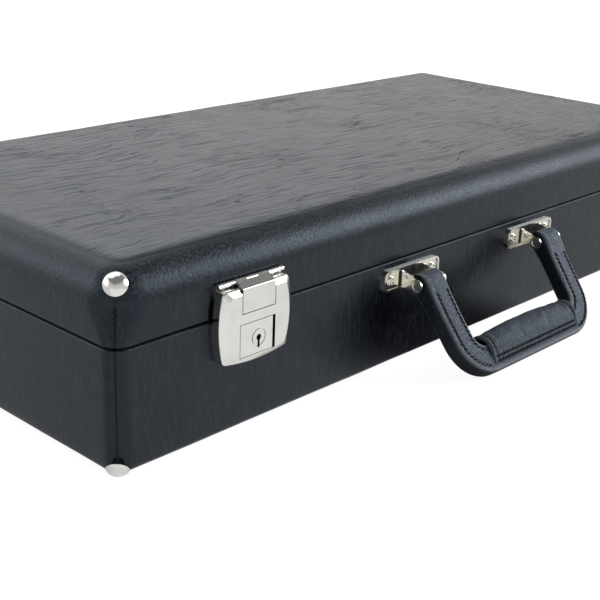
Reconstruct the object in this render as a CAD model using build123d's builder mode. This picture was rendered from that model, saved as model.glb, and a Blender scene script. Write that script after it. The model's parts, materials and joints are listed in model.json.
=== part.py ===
from build123d import *
from math import acos, atan2, cos, degrees, hypot, pi, sin, sqrt
import os

os.makedirs("parts", exist_ok=True)

# Case outside, in mm. X runs along the front, Y to the back, Z up.
# The origin is the middle of the flat underside of the base.
case_length = 517
case_width = 245
base_height = 59.6
seam_gap = 0.8
lid_height = 34.6
corner_radius = 9
lid_corner_radius = 18.6
top_edge_radius = 18
top_edge_step = 0.6
bottom_edge_radius = 3.5
rim_edge_radius = 1.1

# Leatherette, boards, rails and panels
cover_thickness = 1
board_thickness = 9
panel_thickness = 4
rail_head_width = 22
rail_head_depth = 12
panel_seat = 5

# Corner studs
stud_radius = 5.5
stud_height = 3
stud_wall = 0.8
stud_shank_radius = 1.1
stud_shank_length = 8
lid_stud_press = 0.4
base_stud_press = 0.3

# Rivets
rivet_shank_radius = 1.4
rivet_depth = 8
rivet_head_radius = 2.7
rivet_head_height = 1.1
rivet_head_edge = 0.6
rivet_dish_radius = 1.5
rivet_dish_depth = 0.5
fit = 0.05
running_gap = 0.3

# Locks, each measured from its own middle
lock_from_end = 78
lock_width = 46.6
lock_end_width = 41.5
lock_bottom = 36.6
lock_top = 74.5
lock_bottom_bulge = 2.2
lock_corner_radius = 2.6
lock_depth = 8
lock_bevel_depth = 2
lock_bevel_width = 3
lock_wall = 1
lock_face_edge = 0.8
lock_bevel_edge = 1.2
lock_plate_thickness = 1.5
lock_rivet_x = 9.5
lock_rivet_z = 43
key_plate_width = 20.8
key_plate_height = 16.2
key_plate_z = 48.9
key_plate_offset = -1.4
key_flange_margin = 2.4
key_flange_thickness = 1.4
key_travel = 1.5
keyhole_z = 48.5
keyhole_radius = 1.5
key_slot_width = 1.4
key_slot_length = 5.2
key_ring_radius = 4.4
key_ring_width = 0.4
key_ring_depth = 0.25
bolt_finger_width = 8
bolt_finger_rise = 3
key_cam_radius = 4.2
cam_nose_width = 3
spring_thickness = 0.5
spring_height = 16
spring_bow = 6
spring_width = 3.6

# Hasps and their back plates
hasp_width = 20.8
hasp_bottom = 62.5
hasp_thickness = 1
hasp_edge_radius = 0.6
hasp_side_gap = 0.4
hasp_knuckle_radius = 1.3
hasp_pin_radius = 0.6
hasp_pin_out = 1.9
hasp_pin_z = 76.2
hasp_plate_width = 41.6
hasp_plate_thickness = 1.1
hasp_plate_bottom = 61.8
hasp_plate_corner = 2
middle_knuckle_width = 7.2
catch_width = 10
catch_length = 3
catch_height = 2
catch_rise = 1.2
hasp_rivet_x = 15.5
hasp_rivet_z = 67.5

# Handle and its brackets
bracket_spacing = 115
bracket_length = 47
bracket_height = 12
bracket_z = 49
bracket_thickness = 1
bracket_rim_height = 0.6
bracket_rim_width = 1.3
bracket_corner_radius = 3.5
bracket_rivet_x = 17.6
ear_spacing = 18.6
ear_thickness = 1
ear_tip_radius = 3.1
ear_slot_width = 1.6
ear_slot_height = 9.2
pivot_out = 12.6
pivot_z = 47.4
pin_radius = 1.5
pin_head_radius = 3.7
pin_head_thickness = 1.1
pin_running_gap = 0.06
handle_reach = 58.8
handle_width = 16
handle_thickness = 10.4
handle_taper = 1.8
handle_corner_radius = 24
handle_edge_radius = 2.6
core_width = 9
core_thickness = 2
core_eye_radius = 2.9
core_eye_length = 14
grip_length = 88
grip_mid_radius = 9.4
grip_end_radius = 7.6
grip_drop = 13.6
grip_flange_drop = 4.6
grip_leather = 0.9
grip_stations = 5
floor_gap = 0.3

# Back hinges
hinge_spacing = 320
hinge_width = 34
hinge_leaf_thickness = 1.2
hinge_leaf_height = 15
hinge_corner_radius = 2.5
hinge_knuckle_radius = 2.8
hinge_pin_radius = 1.4
hinge_pin_out = 3
hinge_middle_knuckle = 12
hinge_pin_head_radius = 2.2
hinge_pin_head_thickness = 0.8
hinge_rivet_spacing = 22
hinge_rivet_rise = 10.5

# Inside
liner_thickness = 3
liner_rise = 4.5
liner_gap = 0.5
liner_joint_gap = 0.2
wall_pad_thickness = 7
wall_pad_top = 56
floor_pad_thickness = 3
divider_thickness = 8
divider_top = 48
cradle_length = 24
cradle_top = 36
cradle_floor = 5
pad_edge_radius = 2
body_joint_radius = 25
head_joint_radius = 27
foot_joint_radius = 28
body_cradles_from_left = (80, 310)
head_cradles_from_left = (60, 240)
foot_cradles_from_left = (40, 130)
swab_divider_from_right = 75
crook_divider_from_right = 160
rod_divider_from_left = 187
lid_pad_margin = 5
lid_pad_thickness = 13
lid_pad_corner = 12
lid_pad_side = 4
lid_pad_crown_inset = 26
lid_pad_stations = 6
lid_lining_thickness = 1.5
lid_lining_gap = 0.6

# Places worked out from the sizes above
case_height = base_height + seam_gap + lid_height
lid_rim = base_height + seam_gap
half_length = case_length / 2
half_width = case_width / 2
wall_depth = cover_thickness + board_thickness
inner_length = case_length - 2 * wall_depth
inner_width = case_width - 2 * wall_depth
floor_top = cover_thickness + panel_thickness
panel_underside = case_height - cover_thickness - panel_thickness
rail_head_bottom = case_height - cover_thickness - rail_head_depth
ledge_length = case_length - 2 * (cover_thickness + rail_head_width)
ledge_width = case_width - 2 * (cover_thickness + rail_head_width)
dome_radius = (stud_radius**2 + stud_height**2) / (2 * stud_height)
seam_z = base_height + seam_gap / 2


def write(part, label):
    """Give a finished piece its name and write it."""
    part.label = label
    export_step(part, f"parts/{label}.step")


def front_plane(x, z, out=0.0):
    """A plane parallel to the front face, X to the right, Y up, its normal pointing out."""
    return Plane(origin=(x, -half_width - out, z), x_dir=(1, 0, 0), z_dir=(0, -1, 0))


def back_plane(x, z, out=0.0):
    """A plane parallel to the back face, its normal pointing out."""
    return Plane(origin=(x, half_width + out, z), x_dir=(-1, 0, 0), z_dir=(0, 1, 0))


# Rivet with a dished head, standing on the plane that it is placed on
with BuildPart() as rivet:
    Cylinder(rivet_head_radius, rivet_head_height, align=(Align.CENTER, Align.CENTER, Align.MIN))
    fillet(rivet.edges().group_by(Axis.Z)[-1], rivet_head_edge)
    with Locations((0, 0, rivet_head_height)):
        Cylinder(rivet_dish_radius, 2 * rivet_dish_depth, mode=Mode.SUBTRACT)
    Cylinder(rivet_shank_radius, rivet_depth, align=(Align.CENTER, Align.CENTER, Align.MAX))

with BuildPart() as rivet_drill:
    Cylinder(rivet_shank_radius + fit, 2 * rivet_depth + 2 * running_gap)


def rivet_group(planes):
    with BuildPart() as group:
        for plane in planes:
            add(rivet.part.moved(plane.location))
    return group.part


def drill(planes, tool):
    """Cut the same tool at each plane out of the part being built."""
    for plane in planes:
        add(tool.moved(plane.location), mode=Mode.SUBTRACT)


lock_x = half_length - lock_from_end
lock_middles = {"left": -lock_x, "right": lock_x}
bracket_middles = {"left": -bracket_spacing / 2, "right": bracket_spacing / 2}
hinge_middles = (-hinge_spacing / 2, hinge_spacing / 2)

bracket_rivets = [
    (middle + side * bracket_rivet_x, bracket_z)
    for middle in bracket_middles.values() for side in (-1, 1)
]
lock_rivets = [
    (middle + side * lock_rivet_x, lock_rivet_z)
    for middle in lock_middles.values() for side in (-1, 1)
]
hasp_rivets = [
    (middle + side * hasp_rivet_x, hasp_rivet_z)
    for middle in lock_middles.values() for side in (-1, 1)
]
hinge_rivets = [
    (middle + side * hinge_rivet_spacing / 2, hinge_rivet_rise)
    for middle in hinge_middles for side in (-1, 1)
]


# Corner studs: hollow domes on the cube diagonal of each corner, with a nail shank
def corner_depth(vertical_radius, edge_radius, press):
    """Distance of the stud's rim from each of the three faces that meet at a rounded corner."""
    ring = vertical_radius - (vertical_radius - edge_radius) / sqrt(2)
    touch = (2 * ring + edge_radius - edge_radius * sqrt(3)) / 3
    return touch + press / sqrt(3)


def corner_planes(depth, height, up):
    planes = []
    for end in (-1, 1):
        for side in (-1, 1):
            seat = (end * (half_length - depth), side * (half_width - depth), height - up * depth)
            planes.append(Plane(origin=seat, z_dir=(end, side, up)))
    return planes


base_stud_depth = corner_depth(corner_radius, bottom_edge_radius, base_stud_press)
lid_stud_depth = corner_depth(lid_corner_radius, top_edge_radius, lid_stud_press)
base_stud_planes = corner_planes(base_stud_depth, 0, -1)
lid_stud_planes = corner_planes(lid_stud_depth, case_height, 1)

with BuildPart() as stud:
    with Locations((0, 0, stud_height - dome_radius)):
        Sphere(dome_radius)
        Sphere(dome_radius - stud_wall, mode=Mode.SUBTRACT)
    split(bisect_by=Plane.XY, keep=Keep.TOP)
    with Locations((0, 0, stud_height - stud_wall / 2)):
        Cylinder(
            stud_shank_radius, stud_height - stud_wall / 2 + stud_shank_length,
            align=(Align.CENTER, Align.CENTER, Align.MAX),
        )

with BuildPart() as stud_drill:
    Cylinder(stud_shank_radius + fit, 2 * stud_shank_length + 2 * running_gap)

for group_name, planes in (
    ("base_corner_studs", base_stud_planes), ("lid_corner_studs", lid_stud_planes),
):
    with BuildPart() as stud_group:
        for plane in planes:
            add(stud.part.moved(plane.location))
    write(stud_group.part, group_name)

# The lowest point of a base stud is the underside of its dome
dome_middle = base_stud_depth + (dome_radius - stud_height) / sqrt(3)
stand_height = dome_radius - dome_middle


# Base: block, mitred boards, panel, leatherette
def base_block(inset):
    with BuildPart() as block:
        with BuildSketch(Plane.XY.offset(inset)):
            RectangleRounded(
                case_length - 2 * inset, case_width - 2 * inset, corner_radius - inset,
            )
        extrude(amount=base_height - 2 * inset)
        fillet(block.edges().group_by(Axis.Z)[0], bottom_edge_radius - inset)
        if inset == 0:
            fillet(block.edges().group_by(Axis.Z)[-1], rim_edge_radius)
    return block.part


def lid_block(inset):
    with BuildPart() as block:
        with BuildSketch(Plane.XY.offset(lid_rim + inset)):
            RectangleRounded(
                case_length - 2 * inset, case_width - 2 * inset, corner_radius - inset,
            )
        with BuildSketch(Plane.XY.offset(case_height - top_edge_radius - top_edge_step)):
            RectangleRounded(
                case_length - 2 * inset, case_width - 2 * inset, lid_corner_radius - inset,
            )
        loft(ruled=True)
        extrude(
            block.faces().sort_by(Axis.Z)[-1], amount=top_edge_radius + top_edge_step - inset,
        )
        fillet(block.edges().group_by(Axis.Z)[-1], top_edge_radius - inset)
    return block.part


def mitred_sectors():
    """Four plan outlines that meet on the mitre lines of a rectangular frame."""
    corners = [
        (-half_length, -half_width), (half_length, -half_width),
        (half_length, half_width), (-half_length, half_width),
    ]
    ridge_left = (half_width - half_length, 0)
    ridge_right = (half_length - half_width, 0)
    return {
        "front": [corners[0], corners[1], ridge_right, ridge_left],
        "right": [corners[1], corners[2], ridge_right],
        "back": [corners[2], corners[3], ridge_left, ridge_right],
        "left": [corners[3], corners[0], ridge_left],
    }


def inner_cut(length, width, low, high):
    """Cut a straight-sided rectangular hollow out of the part being built."""
    with BuildSketch(Plane.XY.offset(low)) as hollow:
        Rectangle(length, width)
    extrude(hollow.sketch, amount=high - low, mode=Mode.SUBTRACT)


front_base_planes = [front_plane(x, z) for x, z in bracket_rivets + lock_rivets]
front_lid_planes = [front_plane(x, z) for x, z in hasp_rivets]
back_base_planes = [back_plane(x, seam_z - rise) for x, rise in hinge_rivets]
back_lid_planes = [back_plane(x, seam_z + rise) for x, rise in hinge_rivets]

base_wood = base_block(cover_thickness)
lid_wood = lid_block(cover_thickness)

with BuildPart() as base_frame:
    add(base_wood)
    inner_cut(inner_length, inner_width, 0, base_height)
    drill(front_base_planes + back_base_planes, rivet_drill.part)
    drill(base_stud_planes, stud_drill.part)

with BuildPart() as lid_frame:
    add(lid_wood)
    inner_cut(inner_length, inner_width, lid_rim, rail_head_bottom)
    inner_cut(ledge_length, ledge_width, lid_rim, case_height)
    inner_cut(
        ledge_length + 2 * panel_seat, ledge_width + 2 * panel_seat, panel_underside, case_height,
    )
    drill(front_lid_planes + back_lid_planes, rivet_drill.part)
    drill(lid_stud_planes, stud_drill.part)

for frame_part, ending in ((base_frame.part, "board"), (lid_frame.part, "rail")):
    owner = "base" if ending == "board" else "lid"
    for side_name, outline in mitred_sectors().items():
        with BuildPart() as frame_side:
            add(frame_part)
            with BuildSketch():
                with BuildLine():
                    Polyline(*outline, close=True)
                make_face()
            extrude(amount=case_height, mode=Mode.INTERSECT)
        write(frame_side.part, f"{owner}_{side_name}_{ending}")

with BuildPart() as base_bottom_panel:
    with BuildSketch(Plane.XY.offset(cover_thickness)):
        Rectangle(inner_length, inner_width)
    extrude(amount=panel_thickness)
write(base_bottom_panel.part, "base_bottom_panel")

with BuildPart() as lid_top_panel:
    with BuildSketch(Plane.XY.offset(panel_underside)):
        Rectangle(ledge_length + 2 * panel_seat, ledge_width + 2 * panel_seat)
    extrude(amount=panel_thickness)
write(lid_top_panel.part, "lid_top_panel")

with BuildPart() as base_cover:
    add(base_block(0))
    add(base_wood, mode=Mode.SUBTRACT)
    inner_cut(inner_length, inner_width, base_height - 2 * cover_thickness, base_height)
    drill(front_base_planes + back_base_planes, rivet_drill.part)
    drill(base_stud_planes, stud_drill.part)
write(base_cover.part, "base_cover")

with BuildPart() as lid_cover:
    add(lid_block(0))
    add(lid_wood, mode=Mode.SUBTRACT)
    inner_cut(inner_length, inner_width, lid_rim, lid_rim + 2 * cover_thickness)
    drill(front_lid_planes + back_lid_planes, rivet_drill.part)
    drill(lid_stud_planes, stud_drill.part)
write(lid_cover.part, "lid_cover")

# Liner boards, which stand above the base rim and guide the lid on
liner_profile = [
    (0, floor_top), (0, base_height), (liner_gap, base_height),
    (liner_gap, base_height + liner_rise), (liner_thickness, base_height + liner_rise),
    (liner_thickness, floor_top),
]
with BuildPart() as liner_boards:
    for side in (-1, 1):
        with BuildSketch(Plane.YZ):
            with BuildLine():
                Polyline(*[(side * (inner_width / 2 - d), z) for d, z in liner_profile], close=True)
            make_face()
        extrude(amount=inner_length / 2 - liner_gap, both=True)
        with BuildSketch(Plane.XZ):
            with BuildLine():
                Polyline(*[(side * (inner_length / 2 - d), z) for d, z in liner_profile], close=True)
            make_face()
        extrude(amount=inner_width / 2 - liner_thickness - liner_joint_gap, both=True)
write(liner_boards.part, "liner_boards")

# Padded inside of the base
tray_length = inner_length - 2 * liner_thickness
tray_width = inner_width - 2 * liner_thickness
lane_area_length = tray_length - 2 * wall_pad_thickness
lane_area_width = tray_width - 2 * wall_pad_thickness
lane_width = (lane_area_width - 2 * divider_thickness) / 3
lane_pitch = lane_width + divider_thickness
lane_floor = floor_top + floor_pad_thickness


def padded_block(length, width, middle, low, high):
    """A plush-covered block with its top edges rounded."""
    with BuildPart() as block:
        with BuildSketch(Plane(origin=(middle[0], middle[1], low))):
            Rectangle(length, width)
        extrude(amount=high - low)
        fillet(block.edges().group_by(Axis.Z)[-1], pad_edge_radius)
    return block.part


with BuildPart() as wall_pads:
    for side in (-1, 1):
        pad_y = side * (tray_width - wall_pad_thickness) / 2
        add(padded_block(tray_length, wall_pad_thickness, (0, pad_y), floor_top, wall_pad_top))
        pad_x = side * (tray_length - wall_pad_thickness) / 2
        end_width = lane_area_width - 2 * liner_joint_gap
        add(padded_block(wall_pad_thickness, end_width, (pad_x, 0), floor_top, wall_pad_top))
write(wall_pads.part, "wall_pads")

with BuildPart() as floor_pad:
    with BuildSketch(Plane.XY.offset(floor_top)):
        Rectangle(lane_area_length, lane_area_width - 2 * liner_joint_gap)
    extrude(amount=floor_pad_thickness)
write(floor_pad.part, "floor_pad")

for divider_name, side in (("front_long_divider", -1), ("back_long_divider", 1)):
    divider = padded_block(
        lane_area_length, divider_thickness, (0, side * lane_pitch / 2), lane_floor, divider_top,
    )
    write(divider, divider_name)

for divider_name, divider_x, lane in (
    ("swab_divider", lane_area_length / 2 - swab_divider_from_right, -1),
    ("crook_divider", lane_area_length / 2 - crook_divider_from_right, 0),
    ("rod_divider", rod_divider_from_left - lane_area_length / 2, 1),
):
    divider = padded_block(
        divider_thickness, lane_width, (divider_x, lane * lane_pitch), lane_floor, divider_top,
    )
    write(divider, divider_name)

for cradle_name, joint_radius, places, lane in (
    ("body_joint_cradles", body_joint_radius, body_cradles_from_left, -1),
    ("head_joint_cradles", head_joint_radius, head_cradles_from_left, 0),
    ("foot_joint_cradles", foot_joint_radius, foot_cradles_from_left, 1),
):
    with BuildPart() as cradles:
        for from_left in places:
            cradle_x = from_left - lane_area_length / 2
            with BuildSketch(Plane(origin=(cradle_x, lane * lane_pitch, lane_floor))):
                Rectangle(cradle_length, lane_width)
            extrude(amount=cradle_top - lane_floor)
            trough = Plane(
                origin=(cradle_x, lane * lane_pitch, lane_floor + cradle_floor + joint_radius),
                z_dir=(1, 0, 0),
            )
            with BuildSketch(trough):
                Circle(joint_radius)
            extrude(amount=cradle_length, both=True, mode=Mode.SUBTRACT)
    write(cradles.part, cradle_name)

# Padded inside of the lid: a crowned pad on the panel and a lining on the rails
with BuildPart() as lid_pad:
    pad_length = ledge_length - 2 * lid_pad_margin
    pad_width = ledge_width - 2 * lid_pad_margin
    with BuildSketch(Plane.XY.offset(panel_underside)):
        RectangleRounded(pad_length, pad_width, lid_pad_corner)
    for station in range(lid_pad_stations):
        turn = station / (lid_pad_stations - 1) * pi / 2
        drop = lid_pad_side + (lid_pad_thickness - lid_pad_side) * sin(turn)
        inset = lid_pad_crown_inset * (1 - cos(turn))
        with BuildSketch(Plane.XY.offset(panel_underside - drop)):
            RectangleRounded(pad_length - 2 * inset, pad_width - 2 * inset, lid_pad_corner)
    loft(ruled=True)
write(lid_pad.part, "lid_pad")

lining_bottom = base_height + liner_rise + lid_lining_gap
with BuildPart() as lid_wall_lining:
    with BuildSketch(Plane.XY.offset(lining_bottom)):
        Rectangle(inner_length, inner_width)
        Rectangle(
            inner_length - 2 * lid_lining_thickness, inner_width - 2 * lid_lining_thickness,
            mode=Mode.SUBTRACT,
        )
    extrude(amount=rail_head_bottom - lining_bottom)
write(lid_wall_lining.part, "lid_wall_lining")


# Locks
def lock_outline(inset):
    """Face of the lock seen from the front: bowed sides, a convex bottom edge, a straight top."""
    top = lock_top - inset
    bottom = lock_bottom + inset
    end = lock_end_width / 2 - inset
    bow = lock_width / 2 - inset
    middle = (lock_top + lock_bottom) / 2
    with BuildLine() as edge:
        ThreePointArc((-end, top), (-bow, middle), (-end, bottom + lock_bottom_bulge))
        ThreePointArc((-end, bottom + lock_bottom_bulge), (0, bottom), (end, bottom + lock_bottom_bulge))
        ThreePointArc((end, bottom + lock_bottom_bulge), (bow, middle), (end, top))
        Line((end, top), (-end, top))
    face = make_face(edge.edges())
    fillet(face.vertices(), lock_corner_radius)


def front_box(x, width, low, high, near, far, middle, mode=Mode.ADD):
    """A block between two distances out from the front face."""
    with BuildSketch(front_plane(middle + x, (low + high) / 2, near)) as outline:
        Rectangle(width, high - low)
    extrude(outline.sketch, amount=far - near, mode=mode)


def keyhole(middle, near, far):
    """Cut a round keyhole with a slot below it."""
    front_box(
        0, key_slot_width, keyhole_z - key_slot_length, keyhole_z, near, far, middle,
        mode=Mode.SUBTRACT,
    )
    with BuildSketch(front_plane(middle, keyhole_z, near)) as hole:
        Circle(keyhole_radius)
    extrude(hole.sketch, amount=far - near, mode=Mode.SUBTRACT)


lock_side_top = lock_depth - lock_bevel_depth
lock_inside = lock_depth - lock_wall
notch_width = hasp_width + 2 * hasp_side_gap
notch_bottom = hasp_bottom - hasp_side_gap
window_left = key_plate_offset - key_plate_width / 2 - running_gap
window_right = key_plate_offset + key_plate_width / 2 + key_travel + running_gap
window_low = key_plate_z - key_plate_height / 2 - running_gap
window_high = key_plate_z + key_plate_height / 2 + running_gap
flange_outer = lock_inside - running_gap
flange_inner = flange_outer - key_flange_thickness
flange_width = key_plate_width + 2 * key_flange_margin
flange_low = key_plate_z - key_plate_height / 2
flange_high = key_plate_z + key_plate_height / 2 + key_flange_margin
flange_right = key_plate_offset + flange_width / 2

for side_name, middle in lock_middles.items():
    with BuildPart() as lock_cover:
        with BuildSketch(front_plane(middle, 0, lock_plate_thickness)):
            lock_outline(0)
        extrude(amount=lock_side_top - lock_plate_thickness)
        with BuildSketch(front_plane(middle, 0, lock_side_top)):
            lock_outline(0)
        with BuildSketch(front_plane(middle, 0, lock_depth)):
            lock_outline(lock_bevel_width)
        loft(ruled=True)
        fillet(lock_cover.faces().sort_by(Axis.Y)[0].edges(), lock_face_edge)
        bevel_y = -half_width - lock_side_top
        bevel_foot = [edge for edge in lock_cover.edges() if abs(edge.center().Y - bevel_y) < fit]
        fillet(bevel_foot, lock_bevel_edge)
        with BuildSketch(front_plane(middle, 0, lock_plate_thickness)):
            lock_outline(lock_wall)
        extrude(amount=lock_side_top - lock_wall / 2 - lock_plate_thickness, mode=Mode.SUBTRACT)
        with BuildSketch(front_plane(middle, 0, lock_side_top - lock_wall / 2)):
            lock_outline(lock_wall)
        with BuildSketch(front_plane(middle, 0, lock_inside)):
            lock_outline(lock_bevel_width)
        loft(ruled=True, mode=Mode.SUBTRACT)
        front_box(
            0, notch_width, notch_bottom, lock_top + lock_wall, 0, 2 * lock_depth, middle,
            mode=Mode.SUBTRACT,
        )
        front_box(
            (window_left + window_right) / 2, window_right - window_left, window_low, window_high,
            lock_side_top, 2 * lock_depth, middle, mode=Mode.SUBTRACT,
        )
    write(lock_cover.part, f"lock_cover_{side_name}")

    with BuildPart() as key_slider:
        front_box(
            key_plate_offset, key_plate_width, key_plate_z - key_plate_height / 2,
            key_plate_z + key_plate_height / 2, flange_inner, lock_depth, middle,
        )
        front_box(
            key_plate_offset, flange_width, flange_low, flange_high, flange_inner, flange_outer,
            middle,
        )
        front_box(
            0, bolt_finger_width, key_plate_z, flange_high + bolt_finger_rise, flange_inner,
            flange_outer, middle,
        )
        keyhole(middle, 0, 2 * lock_depth)
        with BuildSketch(front_plane(middle, keyhole_z, lock_depth - key_ring_depth)):
            Circle(key_ring_radius)
            Circle(key_ring_radius - key_ring_width, mode=Mode.SUBTRACT)
        extrude(amount=lock_depth, mode=Mode.SUBTRACT)
    write(key_slider.part, f"key_slider_{side_name}")

    with BuildPart() as key_cam:
        with BuildSketch(front_plane(middle, keyhole_z, lock_plate_thickness + running_gap)):
            Circle(key_cam_radius)
            with Locations((0, key_cam_radius)):
                Rectangle(cam_nose_width, cam_nose_width)
        extrude(amount=flange_inner - lock_plate_thickness - 2 * running_gap)
        keyhole(middle, 0, lock_depth)
    write(key_cam.part, f"key_cam_{side_name}")

    spring_tip = flange_right + key_travel + running_gap + spring_thickness / 2
    with BuildPart() as slider_spring:
        with BuildSketch(front_plane(middle, key_plate_z, lock_plate_thickness)):
            with BuildLine():
                ThreePointArc(
                    (spring_tip + spring_bow, spring_height / 2), (spring_tip, 0),
                    (spring_tip + spring_bow, -spring_height / 2),
                )
            trace(line_width=spring_thickness)
        extrude(amount=spring_width)
    write(slider_spring.part, f"slider_spring_{side_name}")

    # Back plate of the hasp, with the outer and middle knuckles of the hasp's hinge
    outer_knuckle_width = (hasp_plate_width - hasp_width) / 2 - hasp_side_gap
    outer_knuckle_x = hasp_width / 2 + hasp_side_gap + outer_knuckle_width / 2
    pin_place = (-half_width - hasp_pin_out, hasp_pin_z)
    with BuildPart() as hasp_plate:
        plate_middle = (hasp_plate_bottom + hasp_pin_z) / 2
        with BuildSketch(front_plane(middle, plate_middle)):
            RectangleRounded(hasp_plate_width, hasp_pin_z - hasp_plate_bottom, hasp_plate_corner)
        extrude(amount=hasp_plate_thickness)
        with BuildSketch(Plane(origin=(middle, 0, 0), z_dir=(1, 0, 0), x_dir=(0, 1, 0))):
            with Locations(pin_place):
                Circle(hasp_knuckle_radius + running_gap)
        extrude(amount=hasp_width / 2 + hasp_side_gap, both=True, mode=Mode.SUBTRACT)
        for knuckle_x, knuckle_width in (
            (-outer_knuckle_x, outer_knuckle_width), (0, middle_knuckle_width),
            (outer_knuckle_x, outer_knuckle_width),
        ):
            knuckle_plane = Plane(
                origin=(middle + knuckle_x, pin_place[0], pin_place[1]), z_dir=(1, 0, 0), x_dir=(0, 1, 0),
            )
            with BuildSketch(knuckle_plane):
                Circle(hasp_knuckle_radius)
            extrude(amount=knuckle_width / 2, both=True)
            front_box(
                knuckle_x, knuckle_width, hasp_pin_z - 2 * hasp_knuckle_radius, hasp_pin_z, 0,
                hasp_plate_thickness, middle,
            )
        with BuildSketch(Plane(origin=(middle, 0, 0), z_dir=(1, 0, 0), x_dir=(0, 1, 0))):
            with Locations(pin_place):
                Circle(hasp_pin_radius)
        extrude(amount=hasp_plate_width, both=True, mode=Mode.SUBTRACT)
        drill(front_lid_planes, rivet_drill.part)
    write(hasp_plate.part, f"hasp_plate_{side_name}")

    with BuildPart() as hasp_pin:
        with BuildSketch(Plane(origin=(middle, 0, 0), z_dir=(1, 0, 0), x_dir=(0, 1, 0))):
            with Locations(pin_place):
                Circle(hasp_pin_radius)
        extrude(amount=hasp_plate_width / 2, both=True)
    write(hasp_pin.part, f"hasp_pin_{side_name}")

    # The hasp: knuckles, an arm over the top of the lock, the front leaf and its catch
    front_y = -half_width - lock_depth
    back_y = front_y + hasp_thickness
    with BuildPart() as hasp:
        with BuildSketch(Plane(origin=(middle, 0, 0), z_dir=(1, 0, 0), x_dir=(0, 1, 0))):
            with BuildLine():
                Polyline(
                    (pin_place[0], hasp_pin_z + hasp_knuckle_radius),
                    (front_y, lock_top),
                    (front_y, hasp_bottom),
                    (back_y, hasp_bottom),
                    (back_y, lock_top - hasp_thickness),
                    (pin_place[0], hasp_pin_z),
                    close=True,
                )
            make_face()
            with Locations(pin_place):
                Circle(hasp_knuckle_radius)
        extrude(amount=hasp_width / 2, both=True)
        fillet(
            hasp.edges().filter_by(Axis.X).group_by(Axis.Y)[0].sort_by(Axis.Z)[-1],
            hasp_edge_radius,
        )
        front_box(
            0, catch_width, hasp_bottom + catch_rise, hasp_bottom + catch_rise + catch_height,
            lock_depth - hasp_thickness - catch_length, lock_depth - hasp_thickness / 2, middle,
        )
        with BuildSketch(Plane(origin=(middle, 0, 0), z_dir=(1, 0, 0), x_dir=(0, 1, 0))):
            with Locations(pin_place):
                Circle(hasp_knuckle_radius + running_gap)
        extrude(
            amount=middle_knuckle_width / 2 + running_gap, both=True, mode=Mode.SUBTRACT,
        )
        with BuildSketch(Plane(origin=(middle, 0, 0), z_dir=(1, 0, 0), x_dir=(0, 1, 0))):
            with Locations(pin_place):
                Circle(hasp_pin_radius + pin_running_gap)
        extrude(amount=hasp_width, both=True, mode=Mode.SUBTRACT)
    write(hasp.part, f"hasp_{side_name}")

with BuildPart() as lock_base_plates:
    for middle in lock_middles.values():
        with BuildSketch(front_plane(middle, 0)):
            lock_outline(0)
            with Locations((0, base_height - rim_edge_radius)):
                Rectangle(2 * lock_width, lock_top, align=(Align.CENTER, Align.MIN), mode=Mode.SUBTRACT)
        extrude(amount=lock_plate_thickness)
    drill(front_base_planes, rivet_drill.part)
write(lock_base_plates.part, "lock_base_plates")

lock_rivet_planes = [front_plane(x, z, lock_plate_thickness) for x, z in lock_rivets]
write(rivet_group(lock_rivet_planes), "lock_rivets")
hasp_rivet_planes = [front_plane(x, z, hasp_plate_thickness) for x, z in hasp_rivets]
write(rivet_group(hasp_rivet_planes), "hasp_plate_rivets")

# Handle brackets: a rimmed plate with two ears bent out of it
for side_name, middle in bracket_middles.items():
    with BuildPart() as bracket:
        with BuildSketch(front_plane(middle, bracket_z)):
            RectangleRounded(bracket_length, bracket_height, bracket_corner_radius)
        extrude(amount=bracket_thickness)
        with BuildSketch(front_plane(middle, bracket_z, bracket_thickness)):
            RectangleRounded(bracket_length, bracket_height, bracket_corner_radius)
            RectangleRounded(
                bracket_length - 2 * bracket_rim_width, bracket_height - 2 * bracket_rim_width,
                bracket_corner_radius - bracket_rim_width, mode=Mode.SUBTRACT,
            )
        extrude(amount=bracket_rim_height)
        for side in (-1, 1):
            slot_x = side * (ear_spacing / 2 + ear_thickness / 2 + ear_slot_width / 2)
            front_box(
                slot_x, ear_slot_width, bracket_z - ear_slot_height / 2,
                bracket_z + ear_slot_height / 2, -bracket_thickness, 2 * bracket_thickness,
                middle, mode=Mode.SUBTRACT,
            )
            ear_plane = Plane(
                origin=(middle + side * ear_spacing / 2, -half_width, 0),
                z_dir=(1, 0, 0), x_dir=(0, 1, 0),
            )
            with BuildSketch(ear_plane):
                with Locations((-pivot_out, pivot_z)):
                    Circle(ear_tip_radius)
                with Locations((-bracket_thickness / 2, bracket_z)):
                    Rectangle(bracket_thickness, ear_slot_height)
                make_hull()
                with Locations((-pivot_out, pivot_z)):
                    Circle(pin_radius, mode=Mode.SUBTRACT)
            extrude(amount=ear_thickness / 2, both=True)
        drill(front_base_planes, rivet_drill.part)
    write(bracket.part, f"handle_bracket_{side_name}")

    with BuildPart() as handle_pin:
        pin_plane = Plane(
            origin=(middle, -half_width - pivot_out, pivot_z), z_dir=(1, 0, 0), x_dir=(0, 1, 0),
        )
        with BuildSketch(pin_plane):
            Circle(pin_radius)
        extrude(amount=(ear_spacing + ear_thickness) / 2, both=True)
        for side in (-1, 1):
            head_plane = pin_plane.offset(side * (ear_spacing + ear_thickness) / 2)
            with BuildSketch(head_plane):
                Circle(pin_head_radius)
            extrude(amount=side * pin_head_thickness)
            with BuildSketch(head_plane.offset(side * pin_head_thickness / 2)):
                Circle(pin_head_radius - pin_head_thickness)
            extrude(amount=side * pin_head_thickness, mode=Mode.SUBTRACT)
    write(handle_pin.part, f"handle_pin_{side_name}")

bracket_rivet_planes = [front_plane(x, z, bracket_thickness) for x, z in bracket_rivets]
write(rivet_group(bracket_rivet_planes), "bracket_rivets")

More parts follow.
